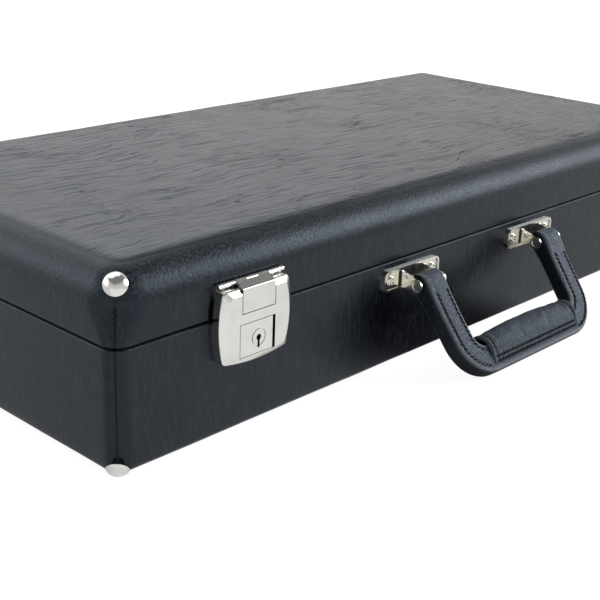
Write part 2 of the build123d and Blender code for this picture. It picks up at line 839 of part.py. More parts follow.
# Handle. It leans on the surface that the case stands on, so the rest angle from hanging
# straight down comes from its reach, its thickness and the height of its pivot.
lean_reach = handle_reach - handle_edge_radius
lean_side = handle_thickness / 2 - handle_edge_radius
lean_drop = pivot_z + stand_height - floor_gap - handle_edge_radius
lean_angle = atan2(lean_side, lean_reach) + acos(lean_drop / hypot(lean_reach, lean_side))
handle_origin = (0, -half_width - pivot_out, pivot_z)
handle_normal = (0, -cos(lean_angle), sin(lean_angle))
handle_plane = Plane(origin=handle_origin, x_dir=(1, 0, 0), z_dir=handle_normal)
print("handle leans out", round(degrees(lean_angle), 2), "degrees, case stands", round(stand_height, 2))


def handle_band(width):
    """A band of even width along the U: down one leg, along the bottom, up the other leg."""
    top_half = bracket_spacing / 2
    bottom_half = top_half - handle_taper
    bottom = handle_reach - handle_width / 2
    with BuildLine() as route:
        FilletPolyline(
            (-top_half, 0), (-bottom_half, -bottom), (bottom_half, -bottom), (top_half, 0),
            radius=handle_corner_radius - handle_width / 2,
        )
    trace(route.edges(), line_width=width)


def end_cylinders(radius, length, mode=Mode.ADD):
    """Cylinders round the two handle pins."""
    for middle in bracket_middles.values():
        pin_plane = Plane(
            origin=(middle, handle_origin[1], handle_origin[2]), z_dir=(1, 0, 0), x_dir=(0, 1, 0),
        )
        with BuildSketch(pin_plane) as disc:
            Circle(radius)
        extrude(disc.sketch, amount=length / 2, both=True, mode=mode)


with BuildPart() as handle_core:
    with BuildSketch(handle_plane):
        handle_band(core_width)
    extrude(amount=core_thickness / 2, both=True)
    end_cylinders(core_eye_radius, core_eye_length)
    end_cylinders(pin_radius + pin_running_gap, 2 * handle_width, mode=Mode.SUBTRACT)
write(handle_core.part, "handle_core")

with BuildPart() as handle_strap:
    with BuildSketch(handle_plane):
        handle_band(handle_width)
    extrude(amount=handle_thickness / 2, both=True)
    long_edges = [
        edge
        for edge in handle_strap.edges()
        if abs(abs(handle_plane.to_local_coords(edge.center()).Z) - handle_thickness / 2) < fit
        and handle_plane.to_local_coords(edge.center()).Y < -handle_width / 2
    ]
    fillet(long_edges, handle_edge_radius)
    end_cylinders(handle_thickness / 2, handle_width)
    add(handle_core.part, mode=Mode.SUBTRACT)
    end_cylinders(pin_radius + 2 * pin_running_gap, 2 * handle_width, mode=Mode.SUBTRACT)
write(handle_strap.part, "handle_strap")

with BuildPart() as handle_grip:
    for station in range(grip_stations):
        share = 2 * station / (grip_stations - 1) - 1
        roll_radius = grip_end_radius + (grip_mid_radius - grip_end_radius) * (1 - share**2)
        section_plane = Plane(
            origin=(share * grip_length / 2, handle_origin[1], handle_origin[2]),
            x_dir=handle_normal, z_dir=(1, 0, 0),
        )
        with BuildSketch(section_plane):
            with Locations((0, handle_reach - grip_drop)):
                Circle(roll_radius)
            for side in (-1, 1):
                with Locations((side * handle_thickness / 2, handle_reach - grip_flange_drop)):
                    Circle(grip_leather)
            make_hull()
    loft()
    add(handle_strap.part, mode=Mode.SUBTRACT)
    add(handle_core.part, mode=Mode.SUBTRACT)
write(handle_grip.part, "handle_grip")

# Back hinges: two leaves on one pin, the base leaf with the outer knuckles
outer_width = (hinge_width - hinge_middle_knuckle) / 2 - running_gap
leaf_clear = hinge_knuckle_radius + running_gap


def hinge_leaves(up, knuckles, planes):
    """One leaf at each hinge place, above the seam when up is 1 and below it when up is -1."""
    with BuildPart() as leaves:
        for middle in hinge_middles:
            leaf_z = seam_z + up * (leaf_clear + hinge_leaf_height / 2)
            with BuildSketch(back_plane(middle, leaf_z)):
                RectangleRounded(hinge_width, hinge_leaf_height, hinge_corner_radius)
            extrude(amount=hinge_leaf_thickness)
            for knuckle_x, width in knuckles:
                tab_z = seam_z + up * leaf_clear
                with BuildSketch(back_plane(middle + knuckle_x, tab_z)):
                    Rectangle(width, 2 * leaf_clear)
                extrude(amount=hinge_leaf_thickness)
                with BuildSketch(
                    Plane(
                        origin=(middle + knuckle_x, half_width + hinge_pin_out, seam_z),
                        z_dir=(1, 0, 0), x_dir=(0, 1, 0),
                    )
                ):
                    Circle(hinge_knuckle_radius)
                extrude(amount=width / 2, both=True)
            with BuildSketch(
                Plane(
                    origin=(middle, half_width + hinge_pin_out, seam_z),
                    z_dir=(1, 0, 0), x_dir=(0, 1, 0),
                )
            ):
                Circle(hinge_pin_radius + pin_running_gap * (1 + up) / 2)
            extrude(amount=hinge_width, both=True, mode=Mode.SUBTRACT)
        drill(planes, rivet_drill.part)
    return leaves.part


outer_x = (hinge_width - outer_width) / 2
base_leaves = hinge_leaves(-1, ((-outer_x, outer_width), (outer_x, outer_width)), back_base_planes)
write(base_leaves, "hinge_base_leaves")
lid_leaves = hinge_leaves(1, ((0, hinge_middle_knuckle - 2 * running_gap),), back_lid_planes)
write(lid_leaves, "hinge_lid_leaves")

with BuildPart() as hinge_pins:
    for middle in hinge_middles:
        pin_plane = Plane(
            origin=(middle, half_width + hinge_pin_out, seam_z), z_dir=(1, 0, 0), x_dir=(0, 1, 0),
        )
        with BuildSketch(pin_plane):
            Circle(hinge_pin_radius)
        extrude(amount=hinge_width / 2, both=True)
        for side in (-1, 1):
            with BuildSketch(pin_plane.offset(side * hinge_width / 2)):
                Circle(hinge_pin_head_radius)
            extrude(amount=side * hinge_pin_head_thickness)
write(hinge_pins.part, "hinge_pins")

base_hinge_rivet_planes = [
    back_plane(x, seam_z - rise, hinge_leaf_thickness) for x, rise in hinge_rivets
]
write(rivet_group(base_hinge_rivet_planes), "hinge_base_rivets")
lid_hinge_rivet_planes = [
    back_plane(x, seam_z + rise, hinge_leaf_thickness) for x, rise in hinge_rivets
]
write(rivet_group(lid_hinge_rivet_planes), "hinge_lid_rivets")
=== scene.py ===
import json
import math

import bmesh
import bpy
import numpy as np
from mathutils import Matrix, Vector, noise
from mathutils.bvhtree import BVHTree


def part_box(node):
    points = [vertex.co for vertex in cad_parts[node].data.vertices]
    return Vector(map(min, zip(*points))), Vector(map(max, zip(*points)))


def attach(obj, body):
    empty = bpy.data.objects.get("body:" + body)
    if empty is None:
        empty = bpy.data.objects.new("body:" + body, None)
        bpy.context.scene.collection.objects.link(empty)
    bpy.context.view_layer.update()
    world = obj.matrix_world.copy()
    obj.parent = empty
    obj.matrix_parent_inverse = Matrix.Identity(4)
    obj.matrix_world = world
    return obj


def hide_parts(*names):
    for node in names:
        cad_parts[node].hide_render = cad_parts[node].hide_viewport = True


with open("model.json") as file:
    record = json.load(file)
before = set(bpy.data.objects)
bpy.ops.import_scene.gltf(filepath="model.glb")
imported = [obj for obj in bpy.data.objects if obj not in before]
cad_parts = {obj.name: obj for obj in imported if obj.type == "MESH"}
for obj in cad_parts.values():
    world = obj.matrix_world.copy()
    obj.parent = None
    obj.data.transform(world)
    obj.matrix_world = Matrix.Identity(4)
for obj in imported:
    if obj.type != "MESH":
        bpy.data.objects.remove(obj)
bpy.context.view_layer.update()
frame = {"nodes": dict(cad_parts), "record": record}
nodes = frame["nodes"]
scene = bpy.context.scene
print("frame loaded,", len(nodes), "nodes")


class Quantity:
    # wraps an output socket, so that arithmetic on it adds Math nodes
    def __init__(self, finish, socket):
        self.finish = finish
        self.socket = socket

    def maths(self, operation, *values):
        return self.finish.node("ShaderNodeMath", {"operation": operation}, dict(enumerate(values)))

    def __add__(self, other):
        return self.maths("ADD", self, other)

    def __sub__(self, other):
        return self.maths("SUBTRACT", self, other)

    def __mul__(self, other):
        return self.maths("MULTIPLY", self, other)

    def __rsub__(self, other):
        return self.maths("SUBTRACT", other, self)

    __radd__ = __add__
    __rmul__ = __mul__

    def size(self):
        return self.maths("ABSOLUTE", self)

    def most(self, other):
        return self.maths("MAXIMUM", self, other)


class Finish:
    def __init__(self, name, tree=None):
        if tree is None:
            self.material = bpy.data.materials.new(name)
            self.material.use_nodes = True
            tree = self.material.node_tree
        self.tree = tree
        tree.nodes.clear()

    def plug(self, socket, value):
        if isinstance(value, Quantity):
            self.tree.links.new(value.socket, socket)
        elif value is not None:
            socket.default_value = value

    def node(self, kind, settings=None, sockets=None, output=0):
        made = self.tree.nodes.new(kind)
        for name, value in (settings or {}).items():
            setattr(made, name, value)
        for key, value in (sockets or {}).items():
            self.plug(made.inputs[key], value)
        return Quantity(self, made.outputs[output]) if made.outputs else None

    def place(self, output="Object"):
        return self.node("ShaderNodeTexCoord", output=output)

    def attribute(self, name):
        return self.node("ShaderNodeAttribute", {"attribute_name": name}, output="Fac")

    def stretched(self, place, scale, turn=0.0, shift=0.0):
        return self.node("ShaderNodeMapping", {}, {
            "Vector": place, "Scale": scale, "Rotation": (0, 0, turn), "Location": (shift, shift, shift)})

    def noise(self, place, scale, detail=3.0, roughness=0.55, distortion=0.0, output=0):
        return self.node("ShaderNodeTexNoise", {}, {
            "Vector": place, "Scale": scale, "Detail": detail, "Roughness": roughness,
            "Distortion": distortion}, output)

    def cells(self, place, scale):
        return self.node("ShaderNodeTexVoronoi", {"feature": "SMOOTH_F1"}, {"Vector": place, "Scale": scale})

    def vectors(self, operation, sockets, output=0):
        return self.node("ShaderNodeVectorMath", {"operation": operation}, sockets, output)

    def axes(self, place):
        parts = self.tree.nodes.new("ShaderNodeSeparateXYZ")
        self.plug(parts.inputs[0], place)
        return [Quantity(self, parts.outputs[axis]) for axis in "XYZ"]

    def rays(self):
        # whether a ray sees the thing itself, and whether it sees it mirrored
        path = self.tree.nodes.new("ShaderNodeLightPath")
        camera, through, glossy = [
            Quantity(self, path.outputs[f"Is {kind} Ray"]) for kind in ("Camera", "Transmission", "Glossy")]
        return camera.most(through), glossy

    def band(self, value, low, high, start=0.0, end=1.0):
        # smooth step of value from low to high, between start and end
        return self.node("ShaderNodeMapRange", {"interpolation_type": "SMOOTHSTEP"}, {
            "Value": value, "From Min": low, "From Max": high, "To Min": start, "To Max": end})

    def blend(self, share, first, second):
        made = self.tree.nodes.new("ShaderNodeMix")
        made.data_type = "RGBA"
        self.plug(made.inputs["Factor"], share)
        for socket, value in ((made.inputs[6], first), (made.inputs[7], second)):
            self.plug(socket, (*value, 1) if isinstance(value, tuple) else value)
        return Quantity(self, made.outputs[2])

    def bump(self, height, depth, under=None):
        return self.node("ShaderNodeBump", {}, {"Height": height, "Distance": depth, "Normal": under})

    def surface(self, colour, roughness, normal=None, **constants):
        names = {key.replace("_", " "): value for key, value in constants.items()}
        shader = self.node("ShaderNodeBsdfPrincipled", {}, {
            "Base Color": (*colour, 1) if isinstance(colour, tuple) else colour,
            "Roughness": roughness, "Normal": normal, **names})
        self.node("ShaderNodeOutputMaterial", {}, {"Surface": shader})
        return self.material


leatherette = {
    # the crease colour is painted shade in the creases and wrinkles; the worn colour is wear, and on the rim
    # and roundings partly a painted highlight; the thread colour is the seam line's, and also painted shade
    # in the gap between lid and base
    "colour": (0.0055, 0.0068, 0.0095), "crease": (0.002, 0.0024, 0.0032), "worn": (0.085, 0.097, 0.125),
    "dull": (0.009, 0.0105, 0.014), "thread": (0.0012, 0.0012, 0.0015), "tint": (0.66, 0.82, 1.0, 1.0),
    "gloss": 0.42, "roughness": 0.19, "flatRoughness": 0.11, "turnedRoughness": 0.13,
    "patches": 8, "linePatches": 14, "uprightPatches": 22, "dullPatches": 5, "cloudy": 70,
    "pebble": 1400, "pores": 620, "mottles": 600, "scuffs": 750,
    "bends": ((9, 0.03), (45, 0.005)),
    "longLines": ((9, 95, 30), 0.011), "lesserLines": ((11, 140, 30), 0.014),
    "crossLines": ((140, 70, 40), 0.04), "uprightLines": ((120, 120, 12), 0.03),
    "ripples": (45, 290, 60), "fineRipples": (130, 640, 120), "streaks": (520, 520, 120),
    "pebbleDepth": 0.00004, "rippleDepth": 0.0006, "fineDepth": 0.00024, "mottleDepth": 0.00028,
    "streakDepth": 0.00011, "creaseDepth": 0.0003, "wrinkleDepth": 0.00004,
}


def folds(finish, place, lines, shift=0.0, turn=0.0):
    # thin lines along a stretched noise, as leather creases in one main direction
    scale, width = leatherette[lines]
    field = finish.noise(finish.stretched(place, scale, turn, shift), 1, 2, 0.4)
    return finish.band((field - 0.5).size(), 0.0, width, 1, 0)


def wandering(finish, place):
    # moves each place a little, so that straight patterns run wavy
    for scale, reach in leatherette["bends"]:
        wander = finish.noise(place, scale, 2, 0.5, output="Color")
        wander = finish.vectors("SCALE", {0: wander, "Scale": reach})
        place = finish.vectors("ADD", {0: place, 1: wander})
    return place


def makeLeatherette():
    finish = Finish("leatherette")
    place = finish.place()
    upward, seam, rim = [finish.attribute(name) for name in ("upward", "seam", "rim")]
    up = finish.band(upward, 0.35, 0.85)
    flat = finish.band(upward, 0.93, 0.995)
    turned = finish.band(upward, 0.06, 0.4) * finish.band(upward, 0.97, 0.8)
    warp = wandering(finish, place)
    patches = finish.noise(place, leatherette["patches"], 2)
    # the top: long wavy creases along X, ripples between them, and crossing lines in places
    longLines = folds(finish, warp, "longLines").most(folds(finish, warp, "lesserLines", 3.1) * 0.7)
    longLines = longLines * finish.band(finish.noise(place, leatherette["linePatches"], 2), 0.42, 0.6)
    crossLines = folds(finish, warp, "crossLines", 5.3, -0.5) * 0.3 * finish.band(patches, 0.5, 0.62)
    rippled = finish.band(patches, 0.62, 0.36, 0.3, 1.0)
    ripples = finish.noise(finish.stretched(warp, leatherette["ripples"]), 1, 2, 0.45)
    fineRipples = finish.noise(finish.stretched(warp, leatherette["fineRipples"]), 1, 2, 0.5)
    # the ripples' troughs, pressed in by the bump and darkened in the colour as painted shade
    troughs = finish.band(ripples, 0.42, 0.34) * 0.3
    creases = (longLines * 0.8).most(crossLines).most(troughs * rippled) * flat
    # the sides: fine upright streaks and thin wavy upright lines in places
    streaks = finish.noise(finish.stretched(warp, leatherette["streaks"]), 1, 3, 0.6)
    upright = folds(finish, warp, "uprightLines", 2.2) * (1 - up) * 0.5
    upright = upright * finish.band(finish.noise(place, leatherette["uprightPatches"], 1), 0.42, 0.6)
    # the roundings: coarser mottles, and specks of the worn colour that are partly wear and partly a painted
    # speckled highlight
    mottles = finish.noise(place, leatherette["mottles"], 3, 0.7)
    scuffs = finish.band(finish.noise(place, leatherette["scuffs"], 3, 0.8), 0.5, 0.62)
    grain = finish.cells(place, leatherette["pebble"]) + finish.noise(place, leatherette["pores"], 2)
    normal = None
    for height, depth in (
        (grain, "pebbleDepth"), (ripples * rippled * flat, "rippleDepth"), (fineRipples * flat, "fineDepth"),
        (mottles * turned, "mottleDepth"), (streaks * (1 - up), "streakDepth"), (1 - upright, "wrinkleDepth"),
        (1 - creases, "creaseDepth"),
    ):
        normal = finish.bump(height, leatherette[depth], normal)
    colour = leatherette["colour"]
    # the seam line's dark colour, which also paints shade into the gap between lid and base
    seam = finish.band(seam, 0.1, 0.5)
    for share, other in (
        # painted shade in the creases, the ripple troughs and the upright lines
        (creases.most(upright), "crease"),
        (finish.band(finish.noise(place, leatherette["dullPatches"], 2), 0.4, 0.65) * 0.35, "dull"),
        (finish.band(streaks, 0.45, 0.7) * (1 - up) * 0.2, "worn"),
        # the worn colour on the rim and the roundings, partly wear and partly a painted highlight
        (rim.most(turned * 0.7) * scuffs, "worn"), (seam, "thread"),
    ):
        colour = finish.blend(share, colour, leatherette[other])
    rough = finish.noise(place, leatherette["cloudy"], 3) * 0.1 + leatherette["roughness"] + creases * 0.3
    rough = rough + flat * leatherette["flatRoughness"]
    rough = rough + turned * (scuffs * 0.2 + leatherette["turnedRoughness"])
    return finish.surface(colour, rough + seam * 0.6, normal, Specular_IOR_Level=leatherette["gloss"],
                          Specular_Tint=leatherette["tint"])


handleLeather = {
    "strap": (0.075, 0.092, 0.122), "grip": (0.05, 0.062, 0.085), "worn": (0.4, 0.44, 0.5),
    "edge": (0.004, 0.005, 0.007), "roughness": 0.42, "gloss": 0.4,
    "pebble": 1250, "pores": 1900, "specks": 640, "dents": 160, "pebbleDepth": 0.00035, "dentDepth": 0.0006,
}


def makeHandleLeather(name, worn, colour):
    finish = Finish(name)
    place = finish.place()
    edge, side = finish.attribute("edge"), finish.attribute("side")
    pores = finish.noise(place, handleLeather["pores"], 2)
    speck = finish.band(finish.noise(place, handleLeather["specks"], 4, 0.85), 0.5, 0.62)
    grain = finish.cells(place, handleLeather["pebble"]) + pores * 0.8
    dents = finish.noise(place, handleLeather["dents"], 2)
    normal = finish.bump(dents, handleLeather["dentDepth"], finish.bump(grain, handleLeather["pebbleDepth"]))
    colour = finish.blend(speck * 0.4 * worn, handleLeather[colour], handleLeather["worn"])
    colour = finish.blend(edge * (0.7 + speck * 0.3) * worn, colour, handleLeather["worn"])
    # the dark side colour: the strap's side faces are darker, and on the grip's tucked-in ends it is painted
    # shade in the hollow
    colour = finish.blend(side, colour, handleLeather["edge"])
    return finish.surface(colour, pores * 0.12 + handleLeather["roughness"], normal,
                          Specular_IOR_Level=handleLeather["gloss"], Specular_Tint=leatherette["tint"])


metals = {
    "nickel": {
        "colour": (0.75, 0.745, 0.72), "stain": (0.62, 0.58, 0.49), "roughness": 0.15, "stains": 0.21},
    "bracketNickel": {
        "colour": (0.80, 0.78, 0.71), "stain": (0.62, 0.54, 0.4), "roughness": 0.15, "stains": 0.3},
    "steel": {
        "colour": (0.42, 0.42, 0.42), "stain": (0.3, 0.29, 0.27), "roughness": 0.33, "stains": 0.3},
}
metalGrain = {"clouds": 130, "scratches": (900, 900, 90), "dents": 55, "dentDepth": 0.00025}


def makeMetal(name):
    values = metals[name]
    finish = Finish(name)
    place = finish.place()
    clouds = finish.band(finish.noise(place, metalGrain["clouds"], 3), 0.45, 0.75)
    scratches = finish.noise(finish.stretched(place, metalGrain["scratches"]), 1, 2)
    colour = finish.blend(clouds * values["stains"], values["colour"], values["stain"])
    rough = values["roughness"] + clouds * 0.06 + scratches * 0.05
    normal = finish.bump(finish.noise(place, metalGrain["dents"], 1), metalGrain["dentDepth"])
    return finish.surface(colour, rough, normal, Metallic=1.0)


def makePaintedGapShade():
    # near-black painted shade for the gaps of the locks and behind the keyhole, a little mottled
    finish = Finish("keyholeDark")
    shadeMottle = finish.noise(finish.place(), 800, 2)
    return finish.surface(finish.blend(shadeMottle, (0.004, 0.004, 0.004), (0.012, 0.011, 0.01)), 0.7)


wood = {
    "early": (0.66, 0.51, 0.34), "late": (0.5, 0.36, 0.22), "pore": (0.36, 0.25, 0.15),
    "grain": (14, 14, 420), "fibre": (60, 60, 1400), "depth": 0.0002,
    "black": (0.012, 0.012, 0.014), "sheen": (0.024, 0.024, 0.028), "blackGrain": (20, 20, 500),
}


def makeWood():
    finish = Finish("plywood")
    place = finish.place()
    grain = finish.noise(finish.stretched(place, wood["grain"], 0.02), 1, 5, 0.6, 0.4)
    fibre = finish.noise(finish.stretched(place, wood["fibre"]), 1, 2)
    colour = finish.blend(finish.band(grain, 0.35, 0.65), wood["late"], wood["early"])
    colour = finish.blend(fibre * 0.3, colour, wood["pore"])
    return finish.surface(colour, 0.7, finish.bump(fibre + grain, wood["depth"]), Specular_IOR_Level=0.3)


def makeBlackWood():
    finish = Finish("blackLiner")
    place = finish.place()
    grain = finish.noise(finish.stretched(place, wood["blackGrain"]), 1, 4)
    colour = finish.blend(grain, wood["black"], wood["sheen"])
    return finish.surface(colour, 0.42 + grain * 0.2, finish.bump(grain, 0.0001), Specular_IOR_Level=0.4)


plush = {
    "deep": (0.012, 0.015, 0.032), "colour": (0.03, 0.037, 0.068), "tips": (0.06, 0.07, 0.115), "pile": 1500,
    "brushed": (55, 38, 55), "pileDepth": 0.0005, "brushedDepth": 0.0012,
}


def makePlush():
    finish = Finish("plush")
    place = finish.place()
    pile = finish.noise(place, plush["pile"], 3, 0.7)
    brushed = finish.noise(finish.stretched(place, plush["brushed"]), 1, 3, 0.6, 1.5)
    colour = finish.blend(finish.band(brushed, 0.3, 0.7), plush["deep"], plush["colour"])
    colour = finish.blend(finish.band(pile, 0.5, 0.75) * 0.5, colour, plush["tips"])
    normal = finish.bump(brushed, plush["brushedDepth"], finish.bump(pile, plush["pileDepth"]))
    return finish.surface(colour, 0.9, normal, Sheen_Weight=0.35, Sheen_Roughness=0.4,
                          Specular_IOR_Level=0.15)


def makeThread(name, colour):
    finish = Finish(name)
    twist = finish.noise(finish.place(), 2500, 2)
    return finish.surface(finish.blend(twist, colour, tuple(c * 2.2 for c in colour)), 0.62,
                          finish.bump(twist, 0.0001), Specular_IOR_Level=0.35)


finishes = {
    "leatherette": makeLeatherette(),
    "handleLeather": makeHandleLeather("handleLeather", 1.0, "strap"),
    "gripLeather": makeHandleLeather("gripLeather", 0.5, "grip"),
    "nickel": makeMetal("nickel"),
    "bracketNickel": makeMetal("bracketNickel"),
    "steel": makeMetal("steel"),
    "plywood": makeWood(),
    "liner": makeBlackWood(),
    "plush": makePlush(),
    "blackThread": makeThread("blackThread", (0.014, 0.015, 0.018)),
    "handleThread": makeThread("handleThread", (0.008, 0.009, 0.013)),
    "keyholeDark": makePaintedGapShade(),
}


def camelName(words):
    first, *others = words.split("_")
    return first + "".join(word.capitalize() for word in others)


def smooth(mesh):
    mesh.polygons.foreach_set("use_smooth", [True] * len(mesh.polygons))


for part in frame["record"]["subparts"]:
    mesh = nodes[part["node"]].data
    mesh.materials.clear()
    mesh.materials.append(finishes[camelName(part["material_slot"])])


# The walls of the locks' windows, the sides of the hasps and of the key slider's plate, and what lies behind
# the keyhole get a near-black painted shade, and the boards are stained black inside
lock = {
    "x": 0.1805, "window": (-0.0123, 0.0110, 0.0403, 0.0575), "notchHalf": 0.0110, "notchFoot": 0.0620,
    "plateDepth": 0.0003, "haspDepth": 0.0013,
}
seamHeight = 0.06


def inLockWindow(x, z):
    x -= math.copysign(lock["x"], x)
    left, right, low, high = lock["window"]
    inKeyWindow = left < x < right and low < z < high
    return inKeyWindow or abs(x) < lock["notchHalf"] and z > lock["notchFoot"]


def darken(node, isDark, dark="keyholeDark"):
    mesh = nodes[node].data
    mesh.materials.append(finishes[dark])
    front = min(corner.co.y for corner in mesh.vertices)
    for face in mesh.polygons:
        if isDark(face.center, face.normal, face.center.y - front):
            face.material_index = 1


def facesInside(middle, normal, _):
    # true where a board of the case looks at the hollow inside
    inwards = min(middle.x * normal.x, middle.y * normal.y) < -0.01
    return inwards or (seamHeight - middle.z) * normal.z > 0.001


for side in ("left", "right"):
    darken("lock_cover_" + side, lambda middle, normal, depth: (
        abs(normal.y) < 0.5 and inLockWindow(middle.x, middle.z)))
    darken("key_slider_" + side, lambda middle, normal, depth: (
        abs(normal.y) < 0.5 or depth > lock["plateDepth"]))
    darken("hasp_" + side, lambda middle, normal, depth: depth < lock["haspDepth"] and (
        abs(normal.x) > 0.5 or normal.z < -0.5))
    darken("key_cam_" + side, lambda middle, normal, depth: True)
for node in nodes:
    if node.endswith(("_board", "_rail", "_panel")):
        darken(node, facesInside, "liner")
print("materials made,", len(finishes))


def addObject(name, data):
    made = bpy.data.objects.new(name, data)
    scene.collection.objects.link(made)
    return made


def writeValues(piece, name, values):
    attribute = piece.data.attributes.new(name, "FLOAT", "POINT")
    attribute.data.foreach_set("value", np.asarray(values, np.float32))


def readPoints(piece, kind):
    values = np.empty(len(piece.data.vertices) * 3)
    piece.data.vertices.foreach_get(kind, values)
    return values


def addMesh(name, points, faces, finish, **shares):
    # each of the shares is a list with a value for every point, which the finish reads by its name
    mesh = bpy.data.meshes.new(name)
    mesh.from_pydata([tuple(p) for p in points], [], faces)
    mesh.materials.append(finishes[finish])
    smooth(mesh)
    mesh.update()
    piece = addObject(name, mesh)
    for key, values in shares.items():
        writeValues(piece, key, values)
    return piece


def settle(piece):
    # turns the piece's modifiers into plain mesh
    graph = bpy.context.evaluated_depsgraph_get()
    graph.update()
    mesh = bpy.data.meshes.new_from_object(
        piece.evaluated_get(graph), preserve_all_data_layers=True, depsgraph=graph)
    piece.modifiers.clear()
    piece.data = mesh


def faceOutwards(piece):
    shape = bmesh.new()
    shape.from_mesh(piece.data)
    bmesh.ops.remove_doubles(shape, verts=shape.verts, dist=1e-6)
    bmesh.ops.recalc_face_normals(shape, faces=shape.faces)
    shape.to_mesh(piece.data)
    shape.free()
    smooth(piece.data)


def smoothEdge(low, high, value):
    share = min(1.0, max(0.0, (value - low) / (high - low)))
    return share * share * (3 - 2 * share)


def bell(value, middle, width):
    return math.exp(-((value - middle) / width) ** 2)


cover = {
    "halfLength": 0.2585, "halfWidth": 0.1225, "baseHeight": 0.0596, "lidRim": 0.0604, "top": 0.095,
    "cornerRadius": 0.009, "lidCornerRadius": 0.0186, "topRadius": 0.018, "topStep": 0.0006,
    "bottomRadius": 0.0035, "leastRadius": 0.0002, "thickness": 0.001,
    "lidRimRadius": 0.0006, "rimRadius": 0.0011, "rimFade": 0.0004,
    # a negative rim share paints shade into the gap between lid and base; a positive one is the rim's wear
    # and painted highlight line
    "rimInsets": (0.0100, 0.0075, 0.005, 0.0025, 0.0014), "rimShares": (-1, -1, -0.3, 0.5, 0.7, 0.4),
    "lidRimShares": (-1, -1, -1, -1, 0),
    "lidWallCells": 9, "topCells": 16, "baseWallCells": 22, "bottomCells": 6,
    "alongCells": 176, "acrossCells": 80, "cornerCells": 24, "seamDepth": 0.0004, "speckle": 0.6,
    "swell": 0.00013, "waves": ((26, 7, 1), (70, 3, 0.5)),
}


def ringFaces(ringSize, rings, bands):
    # faces between each ring of points and the next; with as many bands as rings, the last joins the first
    return [
        (row * ringSize + k, row * ringSize + (k + 1) % ringSize,
         (row + 1) % rings * ringSize + (k + 1) % ringSize, (row + 1) % rings * ringSize + k)
        for row in range(bands) for k in range(ringSize)
    ]


def roundedOutline(reachX, reachY, radius, cornerCells, sideCells):
    # points round a rounded rectangle, from its front left corner; the reaches are those of the arcs' middles
    middles = [(-reachX, -reachY), (reachX, -reachY), (reachX, reachY), (-reachX, reachY)]
    points = []
    for corner, middle in enumerate(middles):
        following = middles[(corner + 1) % len(middles)]
        for step in range(cornerCells + 1):
            angle = math.pi + (corner + step / cornerCells) * math.pi / 2
            points.append((middle[0] + radius * math.cos(angle), middle[1] + radius * math.sin(angle)))
        first = points[-1]
        for step in range(1, sideCells[corner % 2]):
            share = step / sideCells[corner % 2]
            points.append(tuple(first[axis] + (following[axis] - middle[axis]) * share for axis in (0, 1)))
    return points


def planRing(inset, radius):
    # the same number of points for each inset
    radius = max(radius, cover["leastRadius"])
    return roundedOutline(cover["halfLength"] - inset - radius, cover["halfWidth"] - inset - radius, radius,
                          cover["cornerCells"], (cover["alongCells"], cover["acrossCells"]))


def coverShell(name, rows, capHeight):
    # rows are (height, inset, corner radius, share of the seam, share of the rim) from the rim to the cap; a
    # negative rim share paints shade into the gap between lid and base through the seam colour, a positive
    # one is the rim's wear and painted highlight
    points, seam, rim = [], [], []
    along, across, corner = cover["alongCells"], cover["acrossCells"], cover["cornerCells"]
    cornerStarts = [0, corner + along, 2 * corner + along + across, 3 * corner + 2 * along + across]
    ringSize = 4 * corner + 2 * (along + across)
    seamPlaces = {start + corner // 2 for start in cornerStarts}
    besideSeam = {place + side for place in seamPlaces for side in (-1, 1)}
    for height, inset, radius, seamShare, rimShare in rows:
        for number, (x, y) in enumerate(planRing(inset, radius)):
            sewn = seamShare if number in seamPlaces else 0
            inward = 1 - cover["seamDepth"] * sewn / math.hypot(cover["halfLength"], cover["halfWidth"])
            points.append((x * inward, y * inward, height))
            # the seam value holds the dark seam line and the painted shade in the gap
            seam.append(max(sewn, -rimShare))
            beside = seamShare * cover["speckle"] if number in besideSeam else 0
            rim.append(max(rimShare, beside))
    faces = ringFaces(ringSize, len(rows), len(rows) - 1)
    # the flat cap: a grid between the four corner arcs of the last ring, with its own four corner points
    last = (len(rows) - 1) * ringSize

    def edgePoint(i, j):
        if j == 0:
            return last + corner + i
        if i == along:
            return last + cornerStarts[1] + corner + j
        if j == across:
            return last + cornerStarts[2] + corner + (along - i)
        return last + (cornerStarts[3] + corner + (across - j)) % ringSize

    grid = {}
    lowX, lowY = points[last + corner][0], points[last + cornerStarts[1] + corner][1]
    highX, highY = points[last + cornerStarts[1]][0], points[last + cornerStarts[2]][1]
    for i in range(along + 1):
        for j in range(across + 1):
            if (i in (0, along)) != (j in (0, across)):
                grid[i, j] = edgePoint(i, j)
            else:
                grid[i, j] = len(points)
                x, y = lowX + (highX - lowX) * i / along, lowY + (highY - lowY) * j / across
                points.append((x, y, capHeight))
                seam.append(0)
                rim.append(0)
    for i in range(along):
        for j in range(across):
            faces.append((grid[i, j], grid[i + 1, j], grid[i + 1, j + 1], grid[i, j + 1]))
    gridCorners = [grid[0, 0], grid[along, 0], grid[along, across], grid[0, across]]
    neighbours = [(grid[0, 1], grid[1, 0]), (grid[along - 1, 0], grid[along, 1]),
                  (grid[along, across - 1], grid[along - 1, across]), (grid[1, across], grid[0, across - 1])]
    for number, start in enumerate(cornerStarts):
        hub = gridCorners[number]
        arc = [last + (start + step) % ringSize for step in range(corner + 1)]
        before, after = neighbours[number]
        loop = [before] + arc + [after]
        for first, second in zip(loop, loop[1:]):
            if first != second:
                faces.append((hub, first, second))
    return addMesh(name, points, faces, "leatherette", seam=seam, rim=rim)


